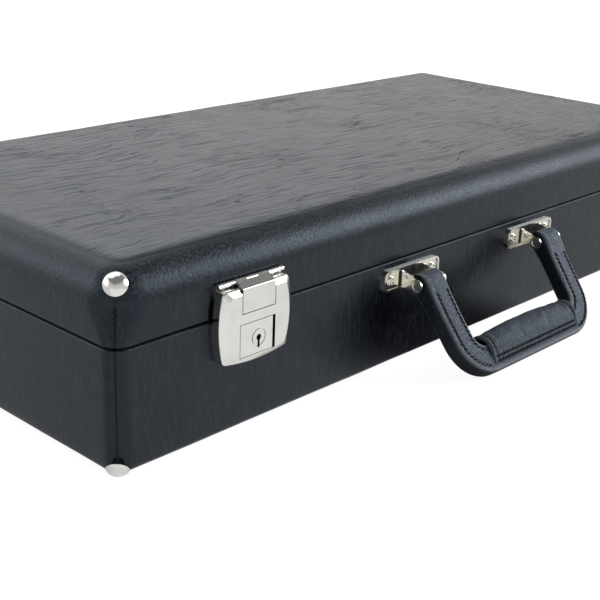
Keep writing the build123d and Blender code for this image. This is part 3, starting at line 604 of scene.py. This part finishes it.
def rimRows(height, edge, rimShares, sign):
    # the covering as it comes in over the boards' edge and turns into the wall; sign 1 turns upwards; the
    # rows over the edge, and those with a negative rim share, are painted with the gap's shade
    plan = cover["cornerRadius"]
    rows = [(height, inset, plan - inset, 0, -1) for inset in cover["rimInsets"]]
    for step, share in enumerate(rimShares):
        angle = step / (len(rimShares) - 1) * math.pi / 2
        inset = edge * (1 - math.sin(angle))
        rows.append((height + sign * edge * (1 - math.cos(angle)), inset, plan - inset, 0.6, share))
    return rows


def arcRows(count, radius, plan, height, sign):
    # quarter turn from an upright wall to a level face; sign 1 turns over at the top, -1 under at the bottom
    rows = []
    for step in range(1, count + 1):
        angle = step / count * math.pi / 2
        move = radius * (1 - math.cos(angle))
        rows.append((height + sign * radius * math.sin(angle), move, plan - move, 0, 0))
    return rows


def finishCover(piece, body, node):
    mesh = piece.data
    shape = bmesh.new()
    shape.from_mesh(mesh)
    bmesh.ops.remove_doubles(shape, verts=shape.verts, dist=1e-5)
    bmesh.ops.dissolve_degenerate(shape, edges=shape.edges, dist=1e-6)
    bmesh.ops.recalc_face_normals(shape, faces=shape.faces)
    shape.verts.ensure_lookup_table()
    middle = Vector((0, 0, (cover["top"] if body == "lid" else 0)))
    probe = min(shape.verts, key=lambda v: (v.co - middle).length)
    wanted = 1 if body == "lid" else -1
    if probe.normal.z * wanted < 0:
        bmesh.ops.reverse_faces(shape, faces=shape.faces)
    shape.normal_update()
    # the covering lies on its boards with slight waves
    moves = []
    for vertex in shape.verts:
        wave = sum(share * noise.noise(vertex.co * scale + Vector((0, 0, shift)))
                   for scale, shift, share in cover["waves"])
        moves.append(vertex.normal * (wave * cover["swell"]))
    upward = [abs(vertex.normal.z) for vertex in shape.verts]
    for vertex, move in zip(shape.verts, moves):
        vertex.co += move
    shape.to_mesh(mesh)
    shape.free()
    writeValues(piece, "upward", upward)
    smooth(mesh)
    skin = piece.modifiers.new("thickness", "SOLIDIFY")
    skin.thickness = cover["thickness"]
    skin.offset = -1
    settle(piece)
    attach(piece, body)
    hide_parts(node)


plan = cover["cornerRadius"]
lidRows = rimRows(cover["lidRim"], cover["lidRimRadius"], cover["lidRimShares"], 1)
wallFoot, turnFoot = cover["lidRim"] + cover["lidRimRadius"], cover["top"] - cover["topRadius"]
for step in range(1, cover["lidWallCells"] + 1):
    share = step / cover["lidWallCells"]
    wider = plan + (cover["lidCornerRadius"] - plan) * share
    lidRows.append((wallFoot + (turnFoot - cover["topStep"] - wallFoot) * share, 0, wider, 1, 0))
lidRows.append((turnFoot, 0, cover["lidCornerRadius"], 0.8, 0))
lidRows += arcRows(cover["topCells"], cover["topRadius"], cover["lidCornerRadius"], turnFoot, 1)
lidLeather = coverShell("lidLeather", lidRows, cover["top"])

baseRows = rimRows(cover["baseHeight"], cover["rimRadius"], cover["rimShares"], -1)
wallHead = cover["baseHeight"] - cover["rimRadius"]
baseRows.append((wallHead - cover["rimFade"], 0, plan, 1, 0))
for step in range(1, cover["baseWallCells"] + 1):
    height = wallHead - (wallHead - cover["bottomRadius"]) * step / cover["baseWallCells"]
    baseRows.append((height, 0, plan, 1, 0))
baseRows += arcRows(cover["bottomCells"], cover["bottomRadius"], plan, cover["bottomRadius"], -1)
baseLeather = coverShell("baseLeather", baseRows, 0.0)
finishCover(lidLeather, "lid", "lid_cover")
finishCover(baseLeather, "base", "base_cover")
print("leatherette covers made")


# Handle: a leather strap swept along a U between the two pins, with a padded roll sewn round its bottom
handle = {
    "pivotOut": 0.0126, "pivotHeight": 0.0474, "lean": math.radians(37.32), "spacing": 0.115, "reach": 0.0588,
    "width": 0.016, "thickness": 0.0104, "taper": 0.0018, "cornerRadius": 0.024, "edgeRadius": 0.0026,
    "pathStep": 0.0014, "crown": 0.0004, "grooveDepth": 0.00016, "grooveWidth": 0.0008, "rowAt": 0.0044,
    "edgeCells": 6, "faceCells": 22, "sideCells": 4, "capCells": 8, "capThin": 0.04,
    "lip": (0.68, 0.8), "lipHeight": (0.76, 0.9), "sideHeight": (0.62, 0.84), "faceHeight": (0.7, 0.95),
    "buckle": 0.00025, "buckleScale": 90, "flare": 0.2, "flareEnd": 0.015,
    "sewnFrom": 0.0075, "gripClear": 0.0005,
}


def handlePoint(x, down, out):
    # x along the case, down from the pins along the strap's face, out from the middle of its thickness
    lean = handle["lean"]
    y = -cover["halfWidth"] - handle["pivotOut"] - down * math.sin(lean) - out * math.cos(lean)
    return Vector((x, y, handle["pivotHeight"] - down * math.cos(lean) + out * math.sin(lean)))


def strapRoute():
    # middle line of the strap as (x, down, heading), from the left pin to the right one
    half, taper = handle["spacing"] / 2, handle["taper"]
    bottom = handle["reach"] - handle["width"] / 2
    radius = handle["cornerRadius"] - handle["width"] / 2
    slope = math.atan2(bottom, taper)
    trim = radius * math.tan(slope / 2)
    leg, flat = math.hypot(bottom, taper) - trim, half - taper - trim
    legCells, arcCells, flatCells = [round(run / handle["pathStep"]) for run in (leg, radius * slope, flat)]
    route = []
    for step in range(legCells):
        run = leg * step / legCells
        route.append((run * math.cos(slope) - half, run * math.sin(slope), slope))
    for step in range(arcCells):
        angle = slope * (1 - step / arcCells)
        route.append((-flat - radius * math.sin(angle), bottom - radius * (1 - math.cos(angle)), angle))
    for step in range(flatCells + 1):
        route.append((-flat * (1 - step / flatCells), bottom, 0.0))
    return route + [(-x, down, -heading) for x, down, heading in reversed(route[:-1])]


def beside(x, down, heading, across):
    return x - across * math.sin(heading), down + across * math.cos(heading)


def strapOutline():
    # points round the strap's section as (across, out), across growing towards the outside of the U
    radius = handle["edgeRadius"]
    return roundedOutline(handle["width"] / 2 - radius, handle["thickness"] / 2 - radius, radius,
                          handle["edgeCells"], (handle["faceCells"], handle["sideCells"]))


def tubeFaces(ringSize, rings):
    # a closed tube, with one face over each end
    ends = [tuple(range(ringSize)), tuple(range((rings - 1) * ringSize, rings * ringSize))]
    return ringFaces(ringSize, rings, rings - 1) + ends


def makeStrap():
    # thicker at the top, where it loops round the pins
    halfWide, halfThick = handle["width"] / 2, handle["thickness"] / 2
    route = strapRoute()
    sections = [(x, down, heading, 1 + handle["flare"] * (1 - smoothEdge(0, handle["flareEnd"], down)))
                for x, down, heading in route]
    for step in range(1, handle["capCells"] + 1):
        angle = step / handle["capCells"] * math.pi / 2
        loop = 1 + handle["flare"]
        beyond, thin = halfThick * loop * math.sin(angle), max(math.cos(angle), handle["capThin"]) * loop
        for (x, down, heading), sign in ((route[0], -1), (route[-1], 1)):
            x += sign * beyond * math.cos(heading)
            down += sign * beyond * math.sin(heading)
            sections.insert(0 if sign < 0 else len(sections), (x, down, heading, thin))
    outline = strapOutline()
    points, edges, sides = [], [], []
    for x, down, heading, thin in sections:
        for across, out in outline:
            share = abs(across) / halfWide
            groove = bell(abs(across), handle["rowAt"], handle["grooveWidth"])
            puff = handle["crown"] * (1 - share ** 2) - handle["grooveDepth"] * groove
            puff += handle["buckle"] * noise.noise(Vector((x, down, out)) * handle["buckleScale"])
            level = abs(out) / halfThick
            puff *= smoothEdge(*handle["faceHeight"], level)
            depth = (out + math.copysign(puff, out)) * thin
            points.append(handlePoint(*beside(x, down, heading, across), depth))
            edges.append(smoothEdge(*handle["lip"], share) * smoothEdge(*handle["lipHeight"], level))
            sides.append(1 - smoothEdge(*handle["sideHeight"], level))
    faces = tubeFaces(len(outline), len(sections))
    piece = addMesh("handleStrapLeather", points, faces, "handleLeather", edge=edges, side=sides)
    faceOutwards(piece)
    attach(piece, "handle")
    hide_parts("handle_strap")
    return piece


grip = {
    "half": 0.0428, "midRadius": 0.0091, "endRadius": 0.0078, "rollDrop": 0.0138, "flangeDrop": 0.0046,
    "flange": 0.0012, "stations": 76, "roundCells": 60, "bead": 0.0007, "beadAt": 0.0012, "beadWidth": 0.0009,
    "neck": 0.0007, "neckAt": 0.0034, "hem": 0.0012, "hemWidth": 0.001, "swell": 0.0012,
    "seamBand": (0.0105, 0.0075), "seamWear": 0.3, "beadWear": 0.8, "heldBand": (0.004, 0.008),
    "hollow": ((0.93, 0.0001), (0.89, 0.0010), (0.86, 0.0036), (0.6, 0.0044), (0.25, 0.0046)),
    "pressure": 4.0, "frames": 20, "grow": -0.02, "crowding": 0.6,
}


def gripOutline(radius, swell):
    # evenly spaced points as (out, down) round the roll and the two flanges that lie on the strap
    side = handle["thickness"] / 2
    discs = [(0, handle["reach"] - grip["rollDrop"], radius + swell)]
    flange = (handle["reach"] - grip["flangeDrop"], grip["flange"] + min(swell, 0))
    discs += [(side, *flange), (-side, *flange)]
    hull = []
    fine = 4 * grip["roundCells"]
    for step in range(fine):
        angle = 2 * math.pi * step / fine
        ahead = (math.sin(angle), -math.cos(angle))
        disc = max(discs, key=lambda d: d[0] * ahead[0] + d[1] * ahead[1] + d[2])
        hull.append((disc[0] + disc[2] * ahead[0], disc[1] + disc[2] * ahead[1]))
    hull.append(hull[0])
    runs = np.cumsum([0] + [math.dist(a, b) for a, b in zip(hull, hull[1:])])
    wanted = np.arange(grip["roundCells"]) / grip["roundCells"] * runs[-1]
    return list(zip(*[np.interp(wanted, runs, [p[axis] for p in hull]) for axis in (0, 1)]))


def simulate(piece, cap, settings):
    # inflates the piece as cloth, moves no point further than cap, and keeps the result as its mesh
    before = readPoints(piece, "co")
    cloth = piece.modifiers.new("padding", "CLOTH")
    cloth.settings.quality = 3
    cloth.settings.use_pressure = True
    cloth.settings.uniform_pressure_force = settings["pressure"]
    cloth.settings.effector_weights.gravity = 0
    cloth.settings.shrink_min = settings["grow"]
    if "held" in piece.vertex_groups:
        cloth.settings.vertex_group_mass = "held"
    cloth.collision_settings.use_collision = False
    cloth.point_cache.frame_start = 1
    cloth.point_cache.frame_end = settings["frames"]
    for step in range(1, settings["frames"] + 1):
        scene.frame_set(step)
    settle(piece)
    scene.frame_set(1)
    moves = (readPoints(piece, "co") - before).reshape(-1, 3)
    lengths = np.linalg.norm(moves, axis=1, keepdims=True)
    moves *= np.tanh(lengths / cap) * cap / np.maximum(lengths, 1e-9)
    piece.data.vertices.foreach_set("co", (before.reshape(-1, 3) + moves).ravel())
    piece.data.update()


def refine(piece):
    finer = piece.modifiers.new("finer", "SUBSURF")
    finer.levels = finer.render_levels = 1
    settle(piece)
    smooth(piece.data)


def makeGrip():
    places, half = [], grip["half"]
    for step in range(grip["stations"] + 1):
        even = 2 * step / grip["stations"] - 1
        towardsEnds = math.sin(even * math.pi / 2) * grip["crowding"]
        places.append((half * ((1 - grip["crowding"]) * even + towardsEnds), 1.0))
    # the ends of the roll are tucked in, so that a dark hollow shows beside the strap; the tucked rings also
    # get the dark side colour, a painted shade in the hollow
    for size, tuck in grip["hollow"]:
        places.insert(0, (tuck - half, size))
        places.append((half - tuck, size))
    points, edges, sides, held = [], [], [], []
    rollAt = handle["reach"] - grip["rollDrop"]
    for x, size in places:
        fromEnd = half - abs(x)
        share = x / half
        radius = grip["endRadius"] + (grip["midRadius"] - grip["endRadius"]) * (1 - share ** 2)
        shaped = size == 1.0
        bead = bell(fromEnd, grip["beadAt"], grip["beadWidth"])
        swell = grip["bead"] * bead * shaped
        swell -= grip["neck"] * bell(fromEnd, grip["neckAt"], grip["beadWidth"]) * shaped
        swell -= grip["hem"] * (1 - smoothEdge(0, grip["hemWidth"], fromEnd)) if shaped else grip["hem"]
        for out, down in gripOutline(radius, swell):
            low = smoothEdge(*[handle["reach"] - drop for drop in grip["seamBand"]], down)
            points.append(handlePoint(x, rollAt + (down - rollAt) * size, out * size))
            edges.append(max(low * grip["seamWear"], bead * grip["beadWear"]) * shaped)
            # the tucked rings take the dark side colour as painted shade in the hollow
            sides.append(0.0 if shaped else 1.0)
            held.append(max(low, 1 - smoothEdge(*grip["heldBand"], fromEnd)))
    faces = tubeFaces(grip["roundCells"], len(places))
    piece = addMesh("handleGripLeather", points, faces, "gripLeather", edge=edges, side=sides)
    faceOutwards(piece)
    group = piece.vertex_groups.new(name="held")
    for number, value in enumerate(held):
        group.add([number], value, "REPLACE")
    simulate(piece, grip["swell"], grip)
    refine(piece)
    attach(piece, "handle")
    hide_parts("handle_grip")
    return piece


strapLeather = makeStrap()
gripLeather = makeGrip()
print("handle made")


# Thread stitches along marks on a surface; an arch's rise is in thicknesses, its shoulder in lengths
arching = {"rise": 1.7, "shoulder": 0.36, "cells": 4, "roundCells": 5}


def makeStitchTree():
    tree = bpy.data.node_groups.new("stitchRow", "GeometryNodeTree")
    inputs = {"Points": "Geometry", "Seed": "Int", "Thread": "Material"}
    inputs |= {name: "Float" for name in ("Length", "Thickness", "Slant", "Zigzag", "Chance")}
    for name, kind in inputs.items():
        tree.interface.new_socket(name=name, in_out="INPUT", socket_type="NodeSocket" + kind)
    tree.interface.new_socket(name="Stitches", in_out="OUTPUT", socket_type="NodeSocketGeometry")
    net = Finish("stitchRow", tree)
    source = tree.nodes.new("NodeGroupInput")
    given = {name: Quantity(net, source.outputs[name]) for name in inputs}

    def place(x, z=0.0):
        return net.node("ShaderNodeCombineXYZ", {}, {"X": x, "Z": z})

    # one stitch: a low arch of thread whose ends go into the leather
    length, rise, shoulder = given["Length"], given["Thickness"] * arching["rise"], arching["shoulder"]
    arch = net.node("GeometryNodeCurvePrimitiveBezierSegment", {}, {
        "Resolution": arching["cells"], "Start": place(length * -0.5), "End": place(length * 0.5),
        "Start Handle": place(length * -shoulder, rise), "End Handle": place(length * shoulder, rise)})
    ring = net.node("GeometryNodeCurvePrimitiveCircle", {"mode": "RADIUS"}, {
        "Resolution": arching["roundCells"], "Radius": given["Thickness"]})
    stitch = net.node("GeometryNodeCurveToMesh", {}, {
        "Curve": arch, "Profile Curve": ring, "Fill Caps": True})
    # its turn: along the row, standing out of the surface, then slanted, zigzagged and a little uneven
    along, outward = [
        net.node("GeometryNodeInputNamedAttribute", {"data_type": "FLOAT_VECTOR"}, {"Name": name})
        for name in ("along", "outward")]
    turn = net.node("FunctionNodeAlignRotationToVector", {"axis": "X"}, {"Vector": along})
    turn = net.node("FunctionNodeAlignRotationToVector", {"axis": "Z", "pivot_axis": "X"}, {
        "Rotation": turn, "Vector": outward})
    index = net.node("GeometryNodeInputIndex")
    way = index.maths("MODULO", index, 2) * 2 - 1
    uneven = net.node("FunctionNodeRandomValue", {"data_type": "FLOAT"}, {
        2: -1.0, 3: 1.0, "Seed": given["Seed"]}, 1)
    angle = given["Slant"] + way * given["Zigzag"] + uneven * given["Chance"]
    spin = net.node("FunctionNodeAxisAngleToRotation", {}, {"Axis": (0, 0, 1), "Angle": angle})
    turn = net.node("FunctionNodeRotateRotation", {"rotation_space": "LOCAL"}, {
        "Rotation": turn, "Rotate By": spin})
    placed = net.node("GeometryNodeInstanceOnPoints", {}, {
        "Points": given["Points"], "Instance": stitch, "Rotation": turn})
    real = net.node("GeometryNodeRealizeInstances", {}, {"Geometry": placed})
    painted = net.node("GeometryNodeSetMaterial", {}, {"Geometry": real, "Material": given["Thread"]})
    tree.links.new(painted.socket, tree.nodes.new("NodeGroupOutput").inputs["Stitches"])
    return tree


stitchTree = makeStitchTree()


def surfaceOf(piece):
    shape = bmesh.new()
    shape.from_mesh(piece.data)
    surface = BVHTree.FromBMesh(shape)
    shape.free()
    return surface


def marksOn(surface, places, pitch):
    # drops evenly spaced places of the line onto the surface; returns (place, along, outward) for each
    hits, carried = [], 0.0
    for (start, aim), (end, _) in zip(places, places[1:]):
        length = (end - start).length
        while carried < length:
            found, normal, _, _ = surface.ray_cast(start + (end - start) * (carried / length), aim)
            if found is not None:
                hits.append((found, normal if normal.dot(aim) < 0 else -normal))
            carried += pitch
        carried -= length
    pairs = zip(hits, hits[1:])
    return [(place, (after - place).normalized(), normal) for (place, normal), (after, _) in pairs]


def addStitches(name, body, marks, thread, slotName, **values):
    mesh = bpy.data.meshes.new(name)
    mesh.from_pydata([tuple(mark[0]) for mark in marks], [], [])
    for number, key in ((1, "along"), (2, "outward")):
        attribute = mesh.attributes.new(key, "FLOAT_VECTOR", "POINT")
        attribute.data.foreach_set("vector", [part for mark in marks for part in mark[number]])
    piece = addObject(name, mesh)
    rows = piece.modifiers.new("stitches", "NODES")
    rows.node_group = stitchTree
    for item in stitchTree.interface.items_tree:
        if item.in_out == "INPUT" and item.name in values:
            rows[item.identifier] = values[item.name]
        elif item.name == "Thread":
            rows[item.identifier] = finishes[thread]
    settle(piece)
    smooth(piece.data)
    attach(piece, body)


sewing = {
    "clear": 0.02, "cornerPitch": 0.0011, "strapPitch": 0.0027, "gripPitch": 0.0021,
    "gripRows": (0.0052, 0.0077), "gripRowEnd": 0.0025, "endRow": 0.0036, "endRowSpan": (0.0215, 0.009),
    "baseLow": 0.0050, "baseHigh": 0.0582, "lidLow": 0.0612, "lidHigh": 0.0815,
}


def cornerMarks(surface, low, high):
    marks = []
    inset = cover["cornerRadius"]
    for endX in (-1, 1):
        for endY in (-1, 1):
            middle = Vector((endX * (cover["halfLength"] - inset), endY * (cover["halfWidth"] - inset), 0))
            outwards = Vector((endX, endY, 0)).normalized()
            start = middle + outwards * (inset + sewing["clear"])
            line = [(start + Vector((0, 0, z)), -outwards) for z in (high, low)]
            marks += marksOn(surface, line, sewing["cornerPitch"])
    return marks


def handleMarks(surface, route, pitch):
    # the same line on the outer and the inner face of the handle
    marks = []
    away = handlePoint(0, 0, 1) - handlePoint(0, 0, 0)
    for sign in (1, -1):
        line = [(handlePoint(x, down, sign * sewing["clear"]), away * -sign) for x, down in route]
        marks += marksOn(surface, line, pitch)
    return marks


for name, body, surface, low, high in (
    ("baseCornerStitches", "base", surfaceOf(baseLeather), sewing["baseLow"], sewing["baseHigh"]),
    ("lidCornerStitches", "lid", surfaceOf(lidLeather), sewing["lidLow"], sewing["lidHigh"]),
):
    addStitches(name, body, cornerMarks(surface, low, high), "blackThread", "leatherette", Length=0.0019,
                Thickness=0.00026, Slant=0.0, Zigzag=0.75, Chance=0.15, Seed=3)

strapMarks = []
strapSurface = surfaceOf(strapLeather)
for across in (-handle["rowAt"], handle["rowAt"]):
    row = [beside(*place, across) for place in strapRoute()]
    bare = grip["half"] + handle["gripClear"]
    row = [(x, down) for x, down in row if down > handle["sewnFrom"] and abs(x) > bare]
    for leg in ([place for place in row if place[0] < 0], [place for place in row if place[0] > 0]):
        strapMarks += handleMarks(strapSurface, leg, sewing["strapPitch"])
addStitches("strapStitches", "handle", strapMarks, "handleThread", "handle_leather", Length=0.0025,
            Thickness=0.00042, Slant=0.5, Zigzag=0.12, Chance=0.2, Seed=5)

gripMarks = []
gripSurface = surfaceOf(gripLeather)
ends = grip["half"] - sewing["gripRowEnd"]
gripLines = [[(-ends, handle["reach"] - drop), (ends, handle["reach"] - drop)] for drop in sewing["gripRows"]]
for x in (sewing["endRow"] - grip["half"], grip["half"] - sewing["endRow"]):
    gripLines.append([(x, handle["reach"] - drop) for drop in sewing["endRowSpan"]])
for line in gripLines:
    gripMarks += handleMarks(gripSurface, line, sewing["gripPitch"])
addStitches("gripStitches", "handle", gripMarks, "handleThread", "handle_leather", Length=0.0018,
            Thickness=0.0004, Slant=0.75, Zigzag=0.1, Chance=0.2, Seed=8)
print("stitches made")


# Plush inside: every pad, divider and cradle is a soft padded piece over its hard core
plushPieces = {
    "wall_pads": {"body": "base", "voxel": 0.0035, "cap": 0.0009},
    "floor_pad": {"body": "base", "voxel": 0.005, "cap": 0.0005, "stretch": 4.5},
    "front_long_divider": {"body": "base", "voxel": 0.003, "cap": 0.0008},
    "back_long_divider": {"body": "base", "voxel": 0.003, "cap": 0.0008},
}
for node in ("swab_divider", "crook_divider", "rod_divider",
             "body_joint_cradles", "head_joint_cradles", "foot_joint_cradles"):
    plushPieces[node] = {"body": "base", "voxel": 0.002, "cap": 0.0008}
plushPieces["lid_pad"] = {"body": "lid", "voxel": 0.005, "cap": 0.0025}
plushSettings = {"pressure": 4.0, "grow": -0.01, "frames": 10, "fill": 0.8, "shrink": 0.5}


def makePlushPiece(node, values):
    # pillows the hard form: remeshed, drawn in a little, then blown up again as cloth
    mesh = nodes[node].data.copy()
    piece = addObject(camelName(node), mesh)
    faceOutwards(piece)
    tall = Matrix.Diagonal((1, 1, values.get("stretch", 1), 1))
    mesh.transform(tall)
    remesh = piece.modifiers.new("cloth cells", "REMESH")
    remesh.mode = "VOXEL"
    remesh.voxel_size = values["voxel"]
    settle(piece)
    piece.data.transform(tall.inverted())
    piece.data.update()
    inward = readPoints(piece, "normal") * values["cap"] * plushSettings["shrink"]
    piece.data.vertices.foreach_set("co", readPoints(piece, "co") - inward)
    simulate(piece, values["cap"], plushSettings)
    refine(piece)
    piece.data.materials.clear()
    piece.data.materials.append(finishes["plush"])
    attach(piece, values["body"])
    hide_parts(node)


for node, values in plushPieces.items():
    makePlushPiece(node, values)


lining = {
    "thickness": 0.0015, "cells": 40, "squareness": 0.75, "tallness": 0.97, "cornerRadius": 0.003,
    "waves": 0.00025, "waveScale": Vector((60, 60, 90)),
}


def makeLidLining():
    # a soft strip round the inside of the lid's walls, swept round the rail opening
    low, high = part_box("lid_wall_lining")
    middle, cells = (low.z + high.z) / 2, lining["cells"]
    points = []
    for row in range(cells):
        angle = 2 * math.pi * row / cells
        square = 1 / max(abs(math.cos(angle)), abs(math.sin(angle))) ** lining["squareness"]
        across = (1 + math.cos(angle) * square) / 2
        height = middle + math.sin(angle) * square * (high.z - low.z) / 2 * lining["tallness"]
        depth = across * lining["thickness"]
        for x, y in planRing(cover["halfLength"] - high.x + depth, lining["cornerRadius"] - depth):
            wave = noise.noise(Vector((x, y, height)) * lining["waveScale"]) * lining["waves"] * across
            points.append((x - math.copysign(wave, x), y - math.copysign(wave, y), height))
    faces = ringFaces(len(points) // cells, cells, cells)
    piece = addMesh("lidWallLining", points, faces, "plush")
    faceOutwards(piece)
    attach(piece, "lid")
    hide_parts("lid_wall_lining")


makeLidLining()
print("plush pieces made")


# Stage, light and camera
studio = {
    "ambient": 0.2, "ceiling": 0.22, "wallGlow": 1.36, "frontGlow": 0.6, "floorBoost": 0.92,
    "floorMirror": 0.72, "floorColour": (0.4, 0.4, 0.4, 1), "floorHalf": 6.0, "floorAt": -0.00177,
    "backBand": (-0.15, 0.3, 0.6, 1), "frontBand": (0.1, 0.45), "turnBand": (-0.1, 0.7),
    "topBand": (0.45, 0.75),
    "lamps": {
        "overhead": {"at": (0.1, 0.75, 1.5), "towards": (0, 0, 0.05), "size": (1.8, 1.2), "power": 10},
        "frontRight": {
            "at": (1.25, -1.05, 0.75), "towards": (0, -0.1, 0.05), "size": (1.0, 0.8), "power": 17},
        "left": {"at": (-1.35, 1.15, 0.8), "towards": (-0.2, 0, 0.05), "size": (1.2, 0.8), "power": 5},
    },
}
# What the covering mirrors of the floor: a painted shadow under the handle, and painted shade to the right
# and on the left
mirrored = {
    "under": (0.01, 0.143, 0), "underSize": (1 / 0.073, 1 / 0.052, 1), "underFade": (1.9, 0.1),
    "right": 0.48, "rightFade": (-0.2, 0.35),
    "left": 0.32, "leftFade": (-0.22, -0.28), "leftBehind": (-0.16, -0.1),
}


def makeFloor():
    finish = Finish("studioFloor")
    direct, glossy = finish.rays()
    place = finish.place()
    across, behind, _ = finish.axes(place)
    beside = finish.band(across, *mirrored["leftFade"]) * finish.band(behind, *mirrored["leftBehind"])
    below = finish.vectors("ADD", {0: place, 1: mirrored["under"]})
    below = finish.vectors("MULTIPLY", {0: below, 1: mirrored["underSize"]})
    below = finish.vectors("DOT_PRODUCT", {0: below, 1: below}, "Value")
    shade = finish.band(below, *mirrored["underFade"])
    shade = shade.most(finish.band(across, *mirrored["rightFade"]) * mirrored["right"])
    shade = shade.most(beside * mirrored["left"])
    matt = finish.node("ShaderNodeBsdfDiffuse", {}, {"Color": studio["floorColour"]})
    glow = finish.node("ShaderNodeEmission", {}, {
        "Strength": direct * studio["floorBoost"] + glossy * (1 - shade) * studio["floorMirror"]})
    both = finish.node("ShaderNodeAddShader", {}, {0: matt, 1: glow})
    finish.node("ShaderNodeOutputMaterial", {}, {"Surface": both})
    half = studio["floorHalf"]
    mesh = bpy.data.meshes.new("studioFloor")
    corners = ((-half, -half), (half, -half), (half, half), (-half, half))
    mesh.from_pydata([(x, y, studio["floorAt"]) for x, y in corners], [], [(0, 1, 2, 3)])
    mesh.materials.append(finish.material)
    floor = addObject("studioFloor", mesh)


def makeWorld():
    world = bpy.data.worlds.new("studio")
    scene.world = world
    world.use_nodes = True
    finish = Finish("studio", world.node_tree)
    direct, glossy = finish.rays()
    _, behind, height = finish.axes(finish.place("Generated"))
    back = finish.band(height, *studio["backBand"]) * studio["wallGlow"]
    front = finish.band(height, *studio["frontBand"], studio["floorMirror"], studio["frontGlow"])
    share = finish.band(behind, *studio["turnBand"])
    wall = back * share + front * (1 - share)
    share = finish.band(height, *studio["topBand"])
    backdrop = wall * (1 - share) + share * studio["ceiling"]
    strength = direct + (1 - direct) * (glossy * backdrop + (1 - glossy) * studio["ambient"])
    shade = finish.node("ShaderNodeBackground", {}, {"Color": (1, 1, 1, 1), "Strength": strength})
    finish.node("ShaderNodeOutputWorld", {}, {"Surface": shade})


def makeLamps():
    for name, values in studio["lamps"].items():
        lamp = bpy.data.lights.new(name, "AREA")
        lamp.shape = "RECTANGLE"
        lamp.size, lamp.size_y = values["size"]
        lamp.energy = values["power"]
        holder = addObject(name, lamp)
        holder.location = values["at"]
        aim = Vector(values["towards"]) - Vector(values["at"])
        holder.rotation_mode = "QUATERNION"
        holder.rotation_quaternion = aim.to_track_quat("-Z", "Y")


# Solved from the photo: place, turn from +Y, fall and roll in degrees, focal length in pixels
view = {"at": (-0.5323, -0.4819, 0.2559), "azimuth": 47.17, "fall": 20.76, "roll": 2.08, "focal": 1156.9,
        "photoWidth": 600, "sensor": 36, "near": 0.01}


def makeCamera():
    azimuth, fall, roll = [math.radians(view[turn]) for turn in ("azimuth", "fall", "roll")]
    ahead = Vector((math.sin(azimuth) * math.cos(fall), math.cos(azimuth) * math.cos(fall), -math.sin(fall)))
    right = ahead.cross(Vector((0, 0, 1))).normalized()
    up = right.cross(ahead)
    rightRolled = math.cos(roll) * right + math.sin(roll) * up
    upRolled = -math.sin(roll) * right + math.cos(roll) * up
    lens = bpy.data.cameras.new("camera")
    lens.sensor_width = view["sensor"]
    lens.lens = view["focal"] / view["photoWidth"] * view["sensor"]
    lens.clip_start = view["near"]
    camera = addObject("camera", lens)
    turned = Matrix((rightRolled, upRolled, -ahead)).transposed()
    camera.matrix_world = Matrix.Translation(view["at"]) @ turned.to_4x4()
    scene.camera = camera


makeFloor()
makeWorld()
makeLamps()
makeCamera()
scene.view_settings.view_transform = "Standard"
print("studio made")
